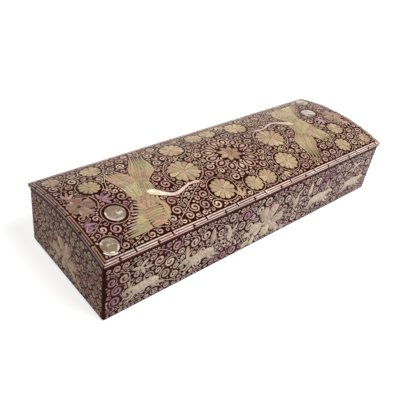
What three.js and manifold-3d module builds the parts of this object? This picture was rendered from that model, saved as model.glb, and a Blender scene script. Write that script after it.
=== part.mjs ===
// Lacquered pen box with an arched lid and mother-of-pearl inlay.
// Millimetres, +Z up. X runs along the box, the front faces -Y, and the origin is the middle of the underside.
import * as THREE from "three";
import { mergeVertices } from "three/addons/utils/BufferGeometryUtils.js";
import Module from "manifold-3d";

// Wooden box
const BOX_LENGTH = 240;
const BOX_DEPTH = 79;
const WALL_HEIGHT = 38.5;
const WALL_THICKNESS = 5;
const ARCH_RISE = 5.5;
const CORNER_RADIUS = 1.5;
const WALL_EDGE_ROUNDING = 0.5;
const BOTTOM_THICKNESS = 4;

// Lid
const LID_CORE_THICKNESS = 2.2;
const LID_OVERHANG = 0.6;
const LID_TOP_ROUNDING = 0.4;
const LID_UNDER_ROUNDING = 0.4;
const PARTING_GAP = 0.3;

// Felt and velvet
const BASE_FELT_THICKNESS = 0.8;
const BASE_FELT_INSET = 1.5;
const LINING_THICKNESS = 1;
const LINING_GAP = 0.3;
const LINING_BELOW_RIM = 1;
const LID_LINING_INSET = 2.5;

// Shell inlay
const SHELL_THICKNESS = 0.3;
const GLUE_LINE = 0.1;
const FRET_INSET = 0.1;
const FRET_WIDTH = 3.8;
const FRET_MITRE_GAP = 0.3;
const FRET_TO_MOTIFS = 0.3;
const WALL_END_TO_MOTIFS = 6.4;
const WALL_EDGE_TO_MOTIFS = 2.8;
const DOME_RISE = 0.8;

// Hinges
const HINGE_FROM_END = 50;
const HINGE_LENGTH = 22;
const LEAF_THICKNESS = 0.6;
const LEAF_SEAT = 3.8;
const LEAF_SPACING = 0.4;
const KNUCKLE_RADIUS = 1;
const KNUCKLE_LENGTH = 7.4;
const KNUCKLE_END_GAP = 0.2;
const KNUCKLE_LID_GAP = 0.2;
const PIN_RADIUS = 0.45;
const PIN_CLEARANCE = 0.05;
const MORTISE_GAP = 0.3;

// Hinge screws
const SCREW_SPACING = 14;
const SCREW_HEAD_RADIUS = 1;
const SCREW_HEAD_HEIGHT = 0.5;
const SCREW_SHANK_RADIUS = 0.45;
const BOX_SCREW_LENGTH = 4;
const LID_SCREW_LENGTH = 2;
const SCREW_CLEARANCE = 0.1;
const SCREW_SLOT_WIDTH = 0.25;
const SCREW_SLOT_DEPTH = 0.2;

// Fineness of the round shapes
const ARCH_STEPS = 16;
const CORNER_STEPS = 4;
const KNUCKLE_SIDES = 24;
const SCREW_SIDES = 16;
const DOME_SIDES = 24;
const DOME_STEPS = 4;
const MERGE_DISTANCE = 1e-4;

// Lengths that only reach past a face so that a cut goes right through it
const PAST = 10;

// The arch: every curved layer shares one centre line below the box
const halfLength = BOX_LENGTH / 2;
const halfDepth = BOX_DEPTH / 2;
const wallFoot = BASE_FELT_THICKNESS;
const wallTop = wallFoot + WALL_HEIGHT;
const seatRadius = (halfDepth ** 2 + ARCH_RISE ** 2) / (2 * ARCH_RISE);
const archCentre = wallTop - Math.sqrt(seatRadius ** 2 - halfDepth ** 2);
const lidUnderRadius = seatRadius + PARTING_GAP;
const lidCoreRadius = lidUnderRadius + LID_CORE_THICKNESS;
const shellUnderRadius = lidCoreRadius + GLUE_LINE;
const shellTopRadius = shellUnderRadius + SHELL_THICKNESS;
const lidHalfLength = halfLength + LID_OVERHANG;
const lidHalfDepth = halfDepth + LID_OVERHANG;

// The wooden walls stop short of the finished faces by the depth of the shell and lacquer on them
const woodHalfLength = halfLength - SHELL_THICKNESS;
const woodHalfDepth = halfDepth - SHELL_THICKNESS;
const innerHalfLength = halfLength - WALL_THICKNESS;
const innerHalfDepth = halfDepth - WALL_THICKNESS;
const floorTop = wallFoot + BOTTOM_THICKNESS;

// The hinge line, behind the lid's back edge and level with the middle of the parting gap
const hingeY = lidHalfDepth + KNUCKLE_LID_GAP + KNUCKLE_RADIUS;
const hingeZ = wallTop + PARTING_GAP / 2;
const leafInnerY = halfDepth - LEAF_SEAT;
const screwY = (leafInnerY + halfDepth) / 2;

const wasm = await Module();
wasm.setup();

function heightOfArc(radius, y) {
  return archCentre + Math.sqrt(radius ** 2 - y ** 2);
}

// Solids and meshes
function solidOf(geometry) {
  const bare = geometry.clone();
  bare.deleteAttribute("normal");
  bare.deleteAttribute("uv");
  const merged = mergeVertices(bare, MERGE_DISTANCE);
  const mesh = new wasm.Mesh({
    numProp: 3,
    vertProperties: merged.attributes.position.array,
    triVerts: new Uint32Array(merged.index.array),
  });
  return new wasm.Manifold(mesh);
}

function geometryOf(solid) {
  const mesh = solid.getMesh();
  const geometry = new THREE.BufferGeometry();
  geometry.setAttribute("position", new THREE.BufferAttribute(mesh.vertProperties, 3));
  geometry.setIndex(new THREE.BufferAttribute(mesh.triVerts, 1));
  const faceted = geometry.toNonIndexed();
  faceted.computeVertexNormals();
  return faceted;
}

function block(low, high) {
  const size = new THREE.Vector3().subVectors(high, low);
  const middle = new THREE.Vector3().addVectors(low, high).multiplyScalar(0.5);
  const geometry = new THREE.BoxGeometry(size.x, size.y, size.z);
  geometry.translate(middle.x, middle.y, middle.z);
  return solidOf(geometry);
}

function prismAlongZ(outline, low, high) {
  const geometry = new THREE.ExtrudeGeometry(new THREE.Shape(outline), {
    depth: high - low,
    bevelEnabled: false,
  });
  geometry.translate(0, 0, low);
  return solidOf(geometry);
}

// The outline's first coordinate is Y and its second is Z
function prismAlongX(outline, low, high) {
  const geometry = new THREE.ExtrudeGeometry(new THREE.Shape(outline), {
    depth: high - low,
    bevelEnabled: false,
  });
  const turn = new THREE.Matrix4().makeBasis(
    new THREE.Vector3(0, 1, 0),
    new THREE.Vector3(0, 0, 1),
    new THREE.Vector3(1, 0, 0),
  );
  geometry.applyMatrix4(turn);
  geometry.translate(low, 0, 0);
  return solidOf(geometry);
}

function rodAlongX(radius, low, high, y, z) {
  const geometry = new THREE.CylinderGeometry(radius, radius, high - low, KNUCKLE_SIDES);
  geometry.rotateZ(Math.PI / 2);
  geometry.translate((low + high) / 2, y, z);
  return solidOf(geometry);
}

function lathe(profile, sides) {
  const geometry = new THREE.LatheGeometry(profile, sides);
  geometry.rotateX(Math.PI / 2);
  return geometry;
}

// Arched blocks
// The right half of a rounded rectangle, from its front edge to its back edge
function rightHalfOutline(halfX, halfY, radius) {
  const points = [];
  const cornerX = halfX - radius;
  const cornerY = halfY - radius;
  const quarter = Math.PI / 2;
  for (let i = 0; i <= CORNER_STEPS; i += 1) {
    const angle = (i / CORNER_STEPS - 1) * quarter;
    points.push(new THREE.Vector2(
      cornerX + radius * Math.cos(angle),
      radius * Math.sin(angle) - cornerY,
    ));
  }
  for (let i = 1; i < ARCH_STEPS; i += 1) {
    points.push(new THREE.Vector2(halfX, cornerY * ((2 * i) / ARCH_STEPS - 1)));
  }
  for (let i = 0; i <= CORNER_STEPS; i += 1) {
    const angle = (i / CORNER_STEPS) * quarter;
    points.push(new THREE.Vector2(
      cornerX + radius * Math.cos(angle),
      cornerY + radius * Math.sin(angle),
    ));
  }
  return points;
}

// Each ring is a rounded rectangle drawn in by its inset, at the height that its rule gives for each Y
function archedBlock(halfX, halfY, radius, rings) {
  const positions = [];
  const faces = [];
  const count = rightHalfOutline(halfX, halfY, radius).length;
  const right = (ring, point) => 2 * (ring * count + point);
  const left = (ring, point) => right(ring, point) + 1;
  const quad = (a, b, c, d) => faces.push(a, b, c, a, c, d);

  for (const { inset, height } of rings) {
    for (const { x, y } of rightHalfOutline(halfX - inset, halfY - inset, radius - inset)) {
      positions.push(x, y, height(y), -x, y, height(y));
    }
  }
  const last = count - 1;
  const top = rings.length - 1;
  for (let ring = 0; ring < top; ring += 1) {
    const next = ring + 1;
    for (let i = 0; i < last; i += 1) {
      quad(right(ring, i), right(ring, i + 1), right(next, i + 1), right(next, i));
      quad(left(ring, i + 1), left(ring, i), left(next, i), left(next, i + 1));
    }
    quad(left(ring, 0), right(ring, 0), right(next, 0), left(next, 0));
    quad(right(ring, last), left(ring, last), left(next, last), right(next, last));
  }
  for (let i = 0; i < last; i += 1) {
    quad(left(0, i + 1), right(0, i + 1), right(0, i), left(0, i));
    quad(left(top, i), right(top, i), right(top, i + 1), left(top, i + 1));
  }
  const geometry = new THREE.BufferGeometry();
  geometry.setAttribute("position", new THREE.Float32BufferAttribute(positions, 3));
  geometry.setIndex(faces);
  return solidOf(geometry);
}

// A layer of the arch between two radii, as long as the lid
function archBand(lowRadius, highRadius) {
  const under = [];
  const over = [];
  for (let i = 0; i <= ARCH_STEPS; i += 1) {
    const y = lidHalfDepth * ((2 * i) / ARCH_STEPS - 1);
    under.push(new THREE.Vector2(y, heightOfArc(lowRadius, y)));
    over.push(new THREE.Vector2(y, heightOfArc(highRadius, y)));
  }
  return prismAlongX([...under, ...over.reverse()], -lidHalfLength, lidHalfLength);
}

// Box walls and bottom
function wallEnvelope() {
  return archedBlock(woodHalfLength, woodHalfDepth, CORNER_RADIUS, [
    { inset: WALL_EDGE_ROUNDING, height: () => wallFoot },
    { inset: 0, height: () => wallFoot + WALL_EDGE_ROUNDING },
    { inset: 0, height: (y) => heightOfArc(seatRadius, y) - WALL_EDGE_ROUNDING },
    { inset: WALL_EDGE_ROUNDING, height: (y) => heightOfArc(seatRadius, y) },
  ]);
}

function longWall(side) {
  const near = side * innerHalfDepth;
  const far = side * (halfDepth + PAST);
  return wallEnvelope().intersect(block(
    new THREE.Vector3(-halfLength - PAST, Math.min(near, far), -PAST),
    new THREE.Vector3(halfLength + PAST, Math.max(near, far), wallTop + ARCH_RISE + PAST),
  ));
}

function endWall(side) {
  const near = side * innerHalfLength;
  const far = side * (halfLength + PAST);
  return wallEnvelope().intersect(block(
    new THREE.Vector3(Math.min(near, far), -innerHalfDepth, -PAST),
    new THREE.Vector3(Math.max(near, far), innerHalfDepth, wallTop + ARCH_RISE + PAST),
  ));
}

function backWall() {
  let wall = longWall(1);
  for (const x of hingeCentres()) {
    wall = wall.subtract(leafMortise(x, hingeZ - LEAF_SPACING / 2 - LEAF_THICKNESS, hingeZ + PAST));
    for (const screwX of screwCentres(x)) {
      wall = wall.subtract(screwHole(screwX, -1, BOX_SCREW_LENGTH));
    }
  }
  return wall;
}

function bottomPanel() {
  return block(
    new THREE.Vector3(-innerHalfLength, -innerHalfDepth, wallFoot),
    new THREE.Vector3(innerHalfLength, innerHalfDepth, floorTop),
  );
}

function baseFelt() {
  return archedBlock(
    halfLength - BASE_FELT_INSET,
    halfDepth - BASE_FELT_INSET,
    CORNER_RADIUS,
    [{ inset: 0, height: () => 0 }, { inset: 0, height: () => BASE_FELT_THICKNESS }],
  );
}

// Linings
const liningOuterX = innerHalfLength - LINING_GAP;
const liningOuterY = innerHalfDepth - LINING_GAP;
const liningFoot = floorTop + LINING_GAP;
const liningRimRadius = seatRadius - LINING_BELOW_RIM;

function floorLining() {
  return block(
    new THREE.Vector3(-liningOuterX, -liningOuterY, liningFoot),
    new THREE.Vector3(liningOuterX, liningOuterY, liningFoot + LINING_THICKNESS),
  );
}

function longLining(side) {
  const near = side * (liningOuterY - LINING_THICKNESS);
  const far = side * liningOuterY;
  return block(
    new THREE.Vector3(-liningOuterX, Math.min(near, far), liningFoot + LINING_THICKNESS + LINING_GAP),
    new THREE.Vector3(liningOuterX, Math.max(near, far), heightOfArc(liningRimRadius, liningOuterY)),
  );
}

function endLining(side) {
  const reach = liningOuterY - LINING_THICKNESS - LINING_GAP;
  const outline = [];
  for (let i = 0; i <= ARCH_STEPS; i += 1) {
    const y = reach * (1 - (2 * i) / ARCH_STEPS);
    outline.push(new THREE.Vector2(y, heightOfArc(liningRimRadius, y)));
  }
  const foot = liningFoot + LINING_THICKNESS + LINING_GAP;
  outline.push(new THREE.Vector2(-reach, foot), new THREE.Vector2(reach, foot));
  const near = side * (liningOuterX - LINING_THICKNESS);
  const far = side * liningOuterX;
  return prismAlongX(outline, Math.min(near, far), Math.max(near, far));
}

function lidLining() {
  const topRadius = lidUnderRadius - LINING_GAP;
  return archedBlock(
    liningOuterX - LINING_THICKNESS - LID_LINING_INSET,
    liningOuterY - LINING_THICKNESS - LID_LINING_INSET,
    CORNER_RADIUS,
    [
      { inset: 0, height: (y) => heightOfArc(topRadius - LINING_THICKNESS, y) },
      { inset: 0, height: (y) => heightOfArc(topRadius, y) },
    ],
  );
}

// Lid panel, with its upper edge rounded over and shallow mortises for the hinge leaves
function lidPanel() {
  const rings = [
    { inset: LID_UNDER_ROUNDING, height: (y) => heightOfArc(lidUnderRadius, y) },
    { inset: 0, height: (y) => heightOfArc(lidUnderRadius + LID_UNDER_ROUNDING, y) },
  ];
  for (let i = 0; i <= CORNER_STEPS; i += 1) {
    const angle = (i / CORNER_STEPS) * (Math.PI / 2);
    const radius = lidCoreRadius - LID_TOP_ROUNDING * (1 - Math.sin(angle));
    rings.push({
      inset: LID_TOP_ROUNDING * (1 - Math.cos(angle)),
      height: (y) => heightOfArc(radius, y),
    });
  }
  let panel = archedBlock(lidHalfLength, lidHalfDepth, CORNER_RADIUS, rings);
  for (const x of hingeCentres()) {
    panel = panel.subtract(leafMortise(x, hingeZ - PAST, hingeZ + LEAF_SPACING / 2 + LEAF_THICKNESS));
    for (const screwX of screwCentres(x)) {
      panel = panel.subtract(screwHole(screwX, 1, LID_SCREW_LENGTH));
    }
  }
  return panel;
}

// Hinges
function hingeCentres() {
  return [HINGE_FROM_END - halfLength, halfLength - HINGE_FROM_END];
}

function screwCentres(x) {
  return [x - SCREW_SPACING / 2, x + SCREW_SPACING / 2];
}

function leafMortise(x, low, high) {
  const reach = HINGE_LENGTH / 2 + MORTISE_GAP;
  return block(
    new THREE.Vector3(x - reach, leafInnerY - MORTISE_GAP, low),
    new THREE.Vector3(x + reach, hingeY, high),
  );
}

// A screw with its head's face at the origin and its point down. The same form, made larger by a
// clearance, cuts its hole.
function screwForm(length, clearance) {
  const head = SCREW_HEAD_RADIUS + clearance;
  const shank = SCREW_SHANK_RADIUS + clearance;
  return lathe([
    new THREE.Vector2(0, -length - clearance),
    new THREE.Vector2(shank, -length - clearance),
    new THREE.Vector2(shank, -SCREW_HEAD_HEIGHT - clearance),
    new THREE.Vector2(head, -clearance),
    new THREE.Vector2(head, clearance),
    new THREE.Vector2(0, clearance),
  ], SCREW_SIDES);
}

// Turned over where side is 1, so that the screw points up into the lid
function placeScrew(geometry, x, side) {
  if (side > 0) {
    geometry.rotateX(Math.PI);
  }
  geometry.translate(x, screwY, hingeZ + (side * LEAF_SPACING) / 2);
  return geometry;
}

function screwHole(x, side, length) {
  return solidOf(placeScrew(screwForm(length, SCREW_CLEARANCE), x, side));
}

function screw(x, side, length) {
  const reach = SCREW_HEAD_RADIUS + SCREW_CLEARANCE;
  const slot = new THREE.BoxGeometry(2 * reach, SCREW_SLOT_WIDTH, 2 * SCREW_SLOT_DEPTH);
  return solidOf(placeScrew(screwForm(length, 0), x, side))
    .subtract(solidOf(placeScrew(slot, x, side)));
}

// The box leaf has the two outer knuckles and the lid leaf has the middle one
function hingeLeaf(x, side) {
  const reach = HINGE_LENGTH / 2;
  const middle = KNUCKLE_LENGTH / 2;
  const near = hingeZ + (side * LEAF_SPACING) / 2;
  const far = near + side * LEAF_THICKNESS;
  const low = Math.min(near, far);
  const high = Math.max(near, far);
  const clear = hingeY - KNUCKLE_RADIUS - KNUCKLE_END_GAP;
  const own = side > 0
    ? [[-middle, middle]]
    : [[-reach, -middle - KNUCKLE_END_GAP], [middle + KNUCKLE_END_GAP, reach]];

  let leaf = block(new THREE.Vector3(x - reach, leafInnerY, low), new THREE.Vector3(x + reach, clear, high));
  for (const [from, to] of own) {
    const corner = new THREE.Vector3(x + from, leafInnerY, low);
    leaf = leaf.add(block(corner, new THREE.Vector3(x + to, hingeY, high)));
    leaf = leaf.add(rodAlongX(KNUCKLE_RADIUS, x + from, x + to, hingeY, hingeZ));
  }
  const bore = PIN_RADIUS + PIN_CLEARANCE;
  leaf = leaf.subtract(rodAlongX(bore, x - reach - PAST, x + reach + PAST, hingeY, hingeZ));
  const length = side > 0 ? LID_SCREW_LENGTH : BOX_SCREW_LENGTH;
  for (const screwX of screwCentres(x)) {
    leaf = leaf.subtract(screwHole(screwX, side, length));
  }
  return leaf;
}

function hingePin(x) {
  return rodAlongX(PIN_RADIUS, x - HINGE_LENGTH / 2, x + HINGE_LENGTH / 2, hingeY, hingeZ);
}

// Inlay pattern
// X runs along the panel and Y across it, both from the panel's middle. The pattern is stretched to fill
// its panel up to the margins above.
// The middle of the lid carries a rosette, and each half carries the same motifs turned half round.
const ROSETTE = { radius: 9, petals: 8, notch: 0.72 };
const CRANE_PLACE = { x: -75.8, y: -8.1 };
const GREAT_CHRYSANTHEMUM = { x: -39.7, y: -0.6, radius: 10.3, petals: 13 };
const FRONT_CHRYSANTHEMUM = { x: -28.8, y: -24.9, radius: 8.1, petals: 12 };
const BACK_CHRYSANTHEMUM = { x: -30.4, y: 23.5, radius: 8, petals: 12 };
const SMALL_FRONT_CHRYSANTHEMUM = { x: -6.2, y: -29.9, radius: 6, petals: 11 };
const SMALL_BACK_CHRYSANTHEMUM = { x: -6.8, y: 29.2, radius: 6.1, petals: 11 };
const END_CHRYSANTHEMUM = { x: -96.8, y: 13.1, radius: 6.3, petals: 11 };
const CORNER_CHRYSANTHEMUM = { x: -86.6, y: 29.4, radius: 6.2, petals: 10 };
const CHRYSANTHEMUMS = {
  great_chrysanthemum: GREAT_CHRYSANTHEMUM,
  front_chrysanthemum: FRONT_CHRYSANTHEMUM,
  back_chrysanthemum: BACK_CHRYSANTHEMUM,
  small_front_chrysanthemum: SMALL_FRONT_CHRYSANTHEMUM,
  small_back_chrysanthemum: SMALL_BACK_CHRYSANTHEMUM,
  end_chrysanthemum: END_CHRYSANTHEMUM,
  corner_chrysanthemum: CORNER_CHRYSANTHEMUM,
};
const CHRYSANTHEMUM_NOTCH = 0.88;
const PLUM_BLOSSOM = { x: -109.2, y: 0.3, radius: 7.2, petals: 5, notch: 0.6 };
const END_DOME = { x: -96.7, y: -13.2, radius: 5.9 };
const CORNER_DOME = { x: -111.3, y: -31.1, radius: 5.1 };
const DOMES = { end_dome: END_DOME, corner_dome: CORNER_DOME };
const PETAL_STEPS = 4;
const PLUM_PETAL_STEPS = 8;

// The front wall carries a peony between four leaping deer, all set a little to the right. Heights are from
// the middle of the wall.
const DEER_SHIFT = 2.2;
const PEONY = { x: 3.6, y: -4.4, radius: 12, petals: 7, notch: 0.78 };
const OUTER_DEER = { x: -98.6, y: -6.2, size: 1 };
const INNER_DEER = { x: -58.4, y: -5.6, size: 1.1 };
const DEER = { outer_deer: OUTER_DEER, inner_deer: INNER_DEER };
const DEER_OUTLINE = [
  [-12.8, 0.2], [-9, 2], [-8.1, 3.5], [-7.6, 8.5], [-6.2, 4.2], [-2, 4.2], [2.5, 3.2],
  [6.5, 2.5], [10, 4], [12.2, 5.5], [11.8, 1.5], [12.5, -2.5], [14.5, -5], [11.5, -4.5],
  [8.5, -3.2], [4.5, -3.8], [0, -4], [-3.5, -5.8], [-7, -6.5], [-5, -4], [-8, -2.5], [-10.5, -1],
];

// The crane is drawn from its body. Its neck runs to the right, and three fans of feathers spread from it.
const CRANE_NECK_TOP = [
  [41.6, -5.9], [38.4, -4.4], [32, -3.7], [25.6, -5], [19.2, -6.5], [14.7, -5], [11.5, -1.9],
  [7.4, 1.6], [9.6, 4.5], [12.8, 9.6], [17.9, 15.4], [22.7, 21.1], [24.3, 28.2], [26.2, 34],
];
const CRANE_NECK_UNDER = [
  [-12.8, -22.9], [-7.7, -21.4], [-1.3, -22.1], [3.2, -19.2], [6.4, -16], [7.7, -12.2], [7.4, -8.3],
  [10.2, -7.7], [14.1, -9.3], [19.2, -9.7], [25.6, -7.9], [32, -6.3], [37.8, -7.4],
];
const CRANE_FANS = [
  {
    tips: [[30.5, 41.6], [18.2, 45], [10.4, 26.5]],
    notches: [[25.4, 37.5], [15.5, 36], [9.2, 22.5]],
    feathers: 7,
  },
  {
    tips: [[2.6, 23.5], [-7, 36], [-9.8, 15.5]],
    notches: [[0.9, 21.5], [-5.5, 27.5], [-7.2, 13.5]],
    feathers: 6,
  },
  {
    tips: [[-9.5, -3], [-17, -9.5], [-26.4, -23.2]],
    notches: [[-6.8, -6], [-12.5, -11.5], [-16.5, -20.6]],
    feathers: 7,
  },
];

function toVectors(pairs) {
  return pairs.map(([x, y]) => new THREE.Vector2(x, y));
}

// Feather tips along one curve, with the notches between them along another
function featherEdge({ tips, notches, feathers }) {
  const tipCurve = new THREE.QuadraticBezierCurve(...toVectors(tips));
  const notchCurve = new THREE.QuadraticBezierCurve(...toVectors(notches));
  const points = [];
  for (let i = 0; i < feathers; i += 1) {
    points.push(tipCurve.getPoint(i / (feathers - 1)));
    if (i < feathers - 1) {
      points.push(notchCurve.getPoint((i + 0.5) / (feathers - 1)));
    }
  }
  return points;
}

function craneOutline() {
  return [
    ...toVectors(CRANE_NECK_TOP),
    ...CRANE_FANS.flatMap(featherEdge),
    ...toVectors(CRANE_NECK_UNDER),
  ];
}

// Petal tips reach the radius, and the notches between petals reach the given share of it
function flowerOutline({ radius, petals, notch }, steps) {
  const points = [];
  const count = petals * steps;
  for (let i = 0; i < count; i += 1) {
    const angle = (2 * Math.PI * i) / count;
    const bulge = Math.sqrt(Math.abs(Math.sin((petals * angle) / 2)));
    const reach = radius * (notch + (1 - notch) * bulge);
    points.push(new THREE.Vector2(reach * Math.cos(angle), reach * Math.sin(angle)));
  }
  return points;
}

// Pointed petals, each with a tip and a notch
function starOutline({ radius, petals, notch }) {
  const points = [];
  for (let i = 0; i < 2 * petals; i += 1) {
    const angle = (Math.PI * i) / petals;
    const reach = i % 2 === 0 ? radius : radius * notch;
    points.push(new THREE.Vector2(reach * Math.cos(angle), reach * Math.sin(angle)));
  }
  return points;
}

function moved(outline, place, turn) {
  return outline.map((point) => new THREE.Vector2(
    turn * (place.x + point.x),
    turn * (place.y + point.y),
  ));
}

// How much a pattern grows each way to reach the given half length and half width
function stretchTo(outlines, halfX, halfY) {
  const points = outlines.flat();
  const reachX = Math.max(...points.map((point) => Math.abs(point.x)));
  const reachY = Math.max(...points.map((point) => Math.abs(point.y)));
  return new THREE.Vector2(halfX / reachX, halfY / reachY);
}

function discOutline({ radius }) {
  return new THREE.Path().absarc(0, 0, radius, 0, 2 * Math.PI).getPoints(DOME_SIDES);
}

const chrysanthemumOutline = (flower) => (
  flowerOutline({ ...flower, notch: CHRYSANTHEMUM_NOTCH }, PETAL_STEPS)
);

const lidStretch = stretchTo(
  [
    moved(craneOutline(), CRANE_PLACE, 1),
    moved(flowerOutline(PLUM_BLOSSOM, PLUM_PETAL_STEPS), PLUM_BLOSSOM, 1),
    ...Object.values(CHRYSANTHEMUMS).map((flower) => moved(chrysanthemumOutline(flower), flower, 1)),
    ...Object.values(DOMES).map((dome) => moved(discOutline(dome), dome, 1)),
  ],
  lidHalfLength - FRET_INSET - FRET_WIDTH - FRET_TO_MOTIFS,
  shellTopRadius * Math.asin((lidHalfDepth - FRET_INSET - FRET_WIDTH) / shellTopRadius) - FRET_TO_MOTIFS,
);

// From the lid's pattern to the plan of the box: Y is measured along the arch
function lidPlan(point) {
  const across = point.y * lidStretch.y;
  return new THREE.Vector2(
    point.x * lidStretch.x,
    shellTopRadius * Math.sin(across / shellTopRadius),
  );
}

const shellBand = archBand(shellUnderRadius, shellTopRadius);

function lidInlay(outline) {
  return prismAlongZ(outline.map(lidPlan), wallTop - PAST, wallTop + ARCH_RISE + PAST)
    .intersect(shellBand);
}

// A domed disc of thick shell, standing square to the arch where it is set
function lidDome(disc, turn) {
  const radius = disc.radius * lidStretch.x;
  const profile = [
    new THREE.Vector2(0, -radius),
    new THREE.Vector2(radius, -radius),
  ];
  for (let i = 0; i <= DOME_STEPS; i += 1) {
    const angle = (i / DOME_STEPS) * (Math.PI / 2);
    profile.push(new THREE.Vector2(radius * Math.cos(angle), DOME_RISE * Math.sin(angle)));
  }
  profile[profile.length - 1].x = 0;
  const dome = lathe(profile, DOME_SIDES);
  const place = lidPlan(new THREE.Vector2(turn * disc.x, turn * disc.y));
  const lean = Math.asin(place.y / shellTopRadius);
  dome.rotateX(-lean);
  dome.translate(place.x, place.y, heightOfArc(shellTopRadius, place.y));
  return solidOf(dome).intersect(archBand(shellUnderRadius, shellTopRadius + radius));
}

// A strip of fretwork along each edge of the lid, mitred at the corners
function fretStrip(across, side) {
  const outerX = lidHalfLength - FRET_INSET;
  const outerY = lidHalfDepth - FRET_INSET;
  const innerX = outerX - FRET_WIDTH;
  const innerY = outerY - FRET_WIDTH;
  const gap = FRET_MITRE_GAP;
  const outline = across
    ? [[outerX, gap - outerY], [outerX, outerY - gap], [innerX, innerY - gap], [innerX, gap - innerY]]
    : [[innerX - gap, innerY], [outerX - gap, outerY], [gap - outerX, outerY], [gap - innerX, innerY]];
  const turned = outline.map(([x, y]) => new THREE.Vector2(side * x, side * y));
  return prismAlongZ(turned, wallTop - PAST, wallTop + ARCH_RISE + PAST).intersect(shellBand);
}

function deerOutline({ x, y, size }, side) {
  return DEER_OUTLINE.map(([px, py]) => (
    new THREE.Vector2(side * (x + size * px) + DEER_SHIFT, y + size * py)
  ));
}

const frontStretch = stretchTo(
  [
    moved(flowerOutline(PEONY, PLUM_PETAL_STEPS), PEONY, 1),
    ...Object.values(DEER).map((deer) => deerOutline(deer, 1)),
    ...Object.values(DEER).map((deer) => deerOutline(deer, -1)),
  ],
  halfLength - WALL_END_TO_MOTIFS,
  WALL_HEIGHT / 2 - WALL_EDGE_TO_MOTIFS,
);

// Shell on the front wall. The outline's second coordinate is a height from the middle of the wall.
function frontInlay(outline) {
  const middle = wallFoot + WALL_HEIGHT / 2;
  const points = outline.map((point) => new THREE.Vector2(
    point.x * frontStretch.x,
    middle + point.y * frontStretch.y,
  ));
  const geometry = new THREE.ExtrudeGeometry(new THREE.Shape(points), {
    depth: SHELL_THICKNESS,
    bevelEnabled: false,
  });
  geometry.rotateX(Math.PI / 2);
  geometry.translate(0, -woodHalfDepth, 0);
  return solidOf(geometry);
}

// Materials
function material(color, roughness, metalness) {
  return new THREE.MeshStandardMaterial({ color, roughness, metalness });
}

const lacquer = () => material(0x4a1a16, 0.18, 0);
const velvet = () => material(0x5c1a1f, 0.95, 0);
const feltBase = () => material(0x2a211f, 1, 0);
const brass = () => material(0xb8924a, 0.35, 1);
const steel = () => material(0x9a958c, 0.4, 1);
const pinkShell = () => material(0xc9aa94, 0.22, 0);
const goldShell = () => material(0xb2a878, 0.22, 0);
const greenShell = () => material(0xa7a886, 0.22, 0);
const greyShell = () => material(0xb9a9a0, 0.22, 0);

// Assembly
const penBox = new THREE.Group();

function addPiece(name, solid, finish) {
  const mesh = new THREE.Mesh(geometryOf(solid), finish);
  mesh.name = name;
  penBox.add(mesh);
}

addPiece("base_felt", baseFelt(), feltBase());
addPiece("bottom_panel", bottomPanel(), lacquer());
addPiece("front_wall", longWall(-1), lacquer());
addPiece("back_wall", backWall(), lacquer());
addPiece("left_end_wall", endWall(-1), lacquer());
addPiece("right_end_wall", endWall(1), lacquer());
addPiece("floor_lining", floorLining(), velvet());
addPiece("front_lining", longLining(-1), velvet());
addPiece("back_lining", longLining(1), velvet());
addPiece("left_end_lining", endLining(-1), velvet());
addPiece("right_end_lining", endLining(1), velvet());
addPiece("lid_panel", lidPanel(), lacquer());
addPiece("lid_lining", lidLining(), velvet());

hingeCentres().forEach((x, index) => {
  const hinge = `${index === 0 ? "left" : "right"}_hinge`;
  addPiece(`${hinge}_box_leaf`, hingeLeaf(x, -1), brass());
  addPiece(`${hinge}_lid_leaf`, hingeLeaf(x, 1), brass());
  addPiece(`${hinge}_pin`, hingePin(x), steel());
  screwCentres(x).forEach((screwX, number) => {
    addPiece(`${hinge}_box_screw_${number + 1}`, screw(screwX, -1, BOX_SCREW_LENGTH), brass());
    addPiece(`${hinge}_lid_screw_${number + 1}`, screw(screwX, 1, LID_SCREW_LENGTH), brass());
  });
});

addPiece("front_fret", fretStrip(false, -1), pinkShell());
addPiece("back_fret", fretStrip(false, 1), pinkShell());
addPiece("left_fret", fretStrip(true, -1), pinkShell());
addPiece("right_fret", fretStrip(true, 1), pinkShell());
addPiece("centre_rosette", lidInlay(starOutline(ROSETTE)), pinkShell());

for (const [half, turn] of [["left", 1], ["right", -1]]) {
  addPiece(`${half}_crane`, lidInlay(moved(craneOutline(), CRANE_PLACE, turn)), greenShell());
  for (const [name, flower] of Object.entries(CHRYSANTHEMUMS)) {
    const outline = moved(chrysanthemumOutline(flower), flower, turn);
    addPiece(`${half}_${name}`, lidInlay(outline), goldShell());
  }
  const blossom = flowerOutline(PLUM_BLOSSOM, PLUM_PETAL_STEPS);
  addPiece(`${half}_plum_blossom`, lidInlay(moved(blossom, PLUM_BLOSSOM, turn)), pinkShell());
  for (const [name, dome] of Object.entries(DOMES)) {
    addPiece(`${half}_${name}`, lidDome(dome, turn), goldShell());
  }
}

addPiece("front_peony", frontInlay(moved(flowerOutline(PEONY, PLUM_PETAL_STEPS), PEONY, 1)), pinkShell());
for (const [half, side] of [["left", 1], ["right", -1]]) {
  for (const [name, deer] of Object.entries(DEER)) {
    addPiece(`${half}_${name}`, frontInlay(deerOutline(deer, side)), greyShell());
  }
}

export default penBox;
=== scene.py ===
# Lacquered pen box with an arched lid, inlaid all over with slips of mother-of-pearl.
# Shapes are drawn in millimetres and laid in the frame's metres. X runs along the box and the front faces -Y.
import math
import random

import bpy
import numpy as np
from mathutils import Matrix, Vector


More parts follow.
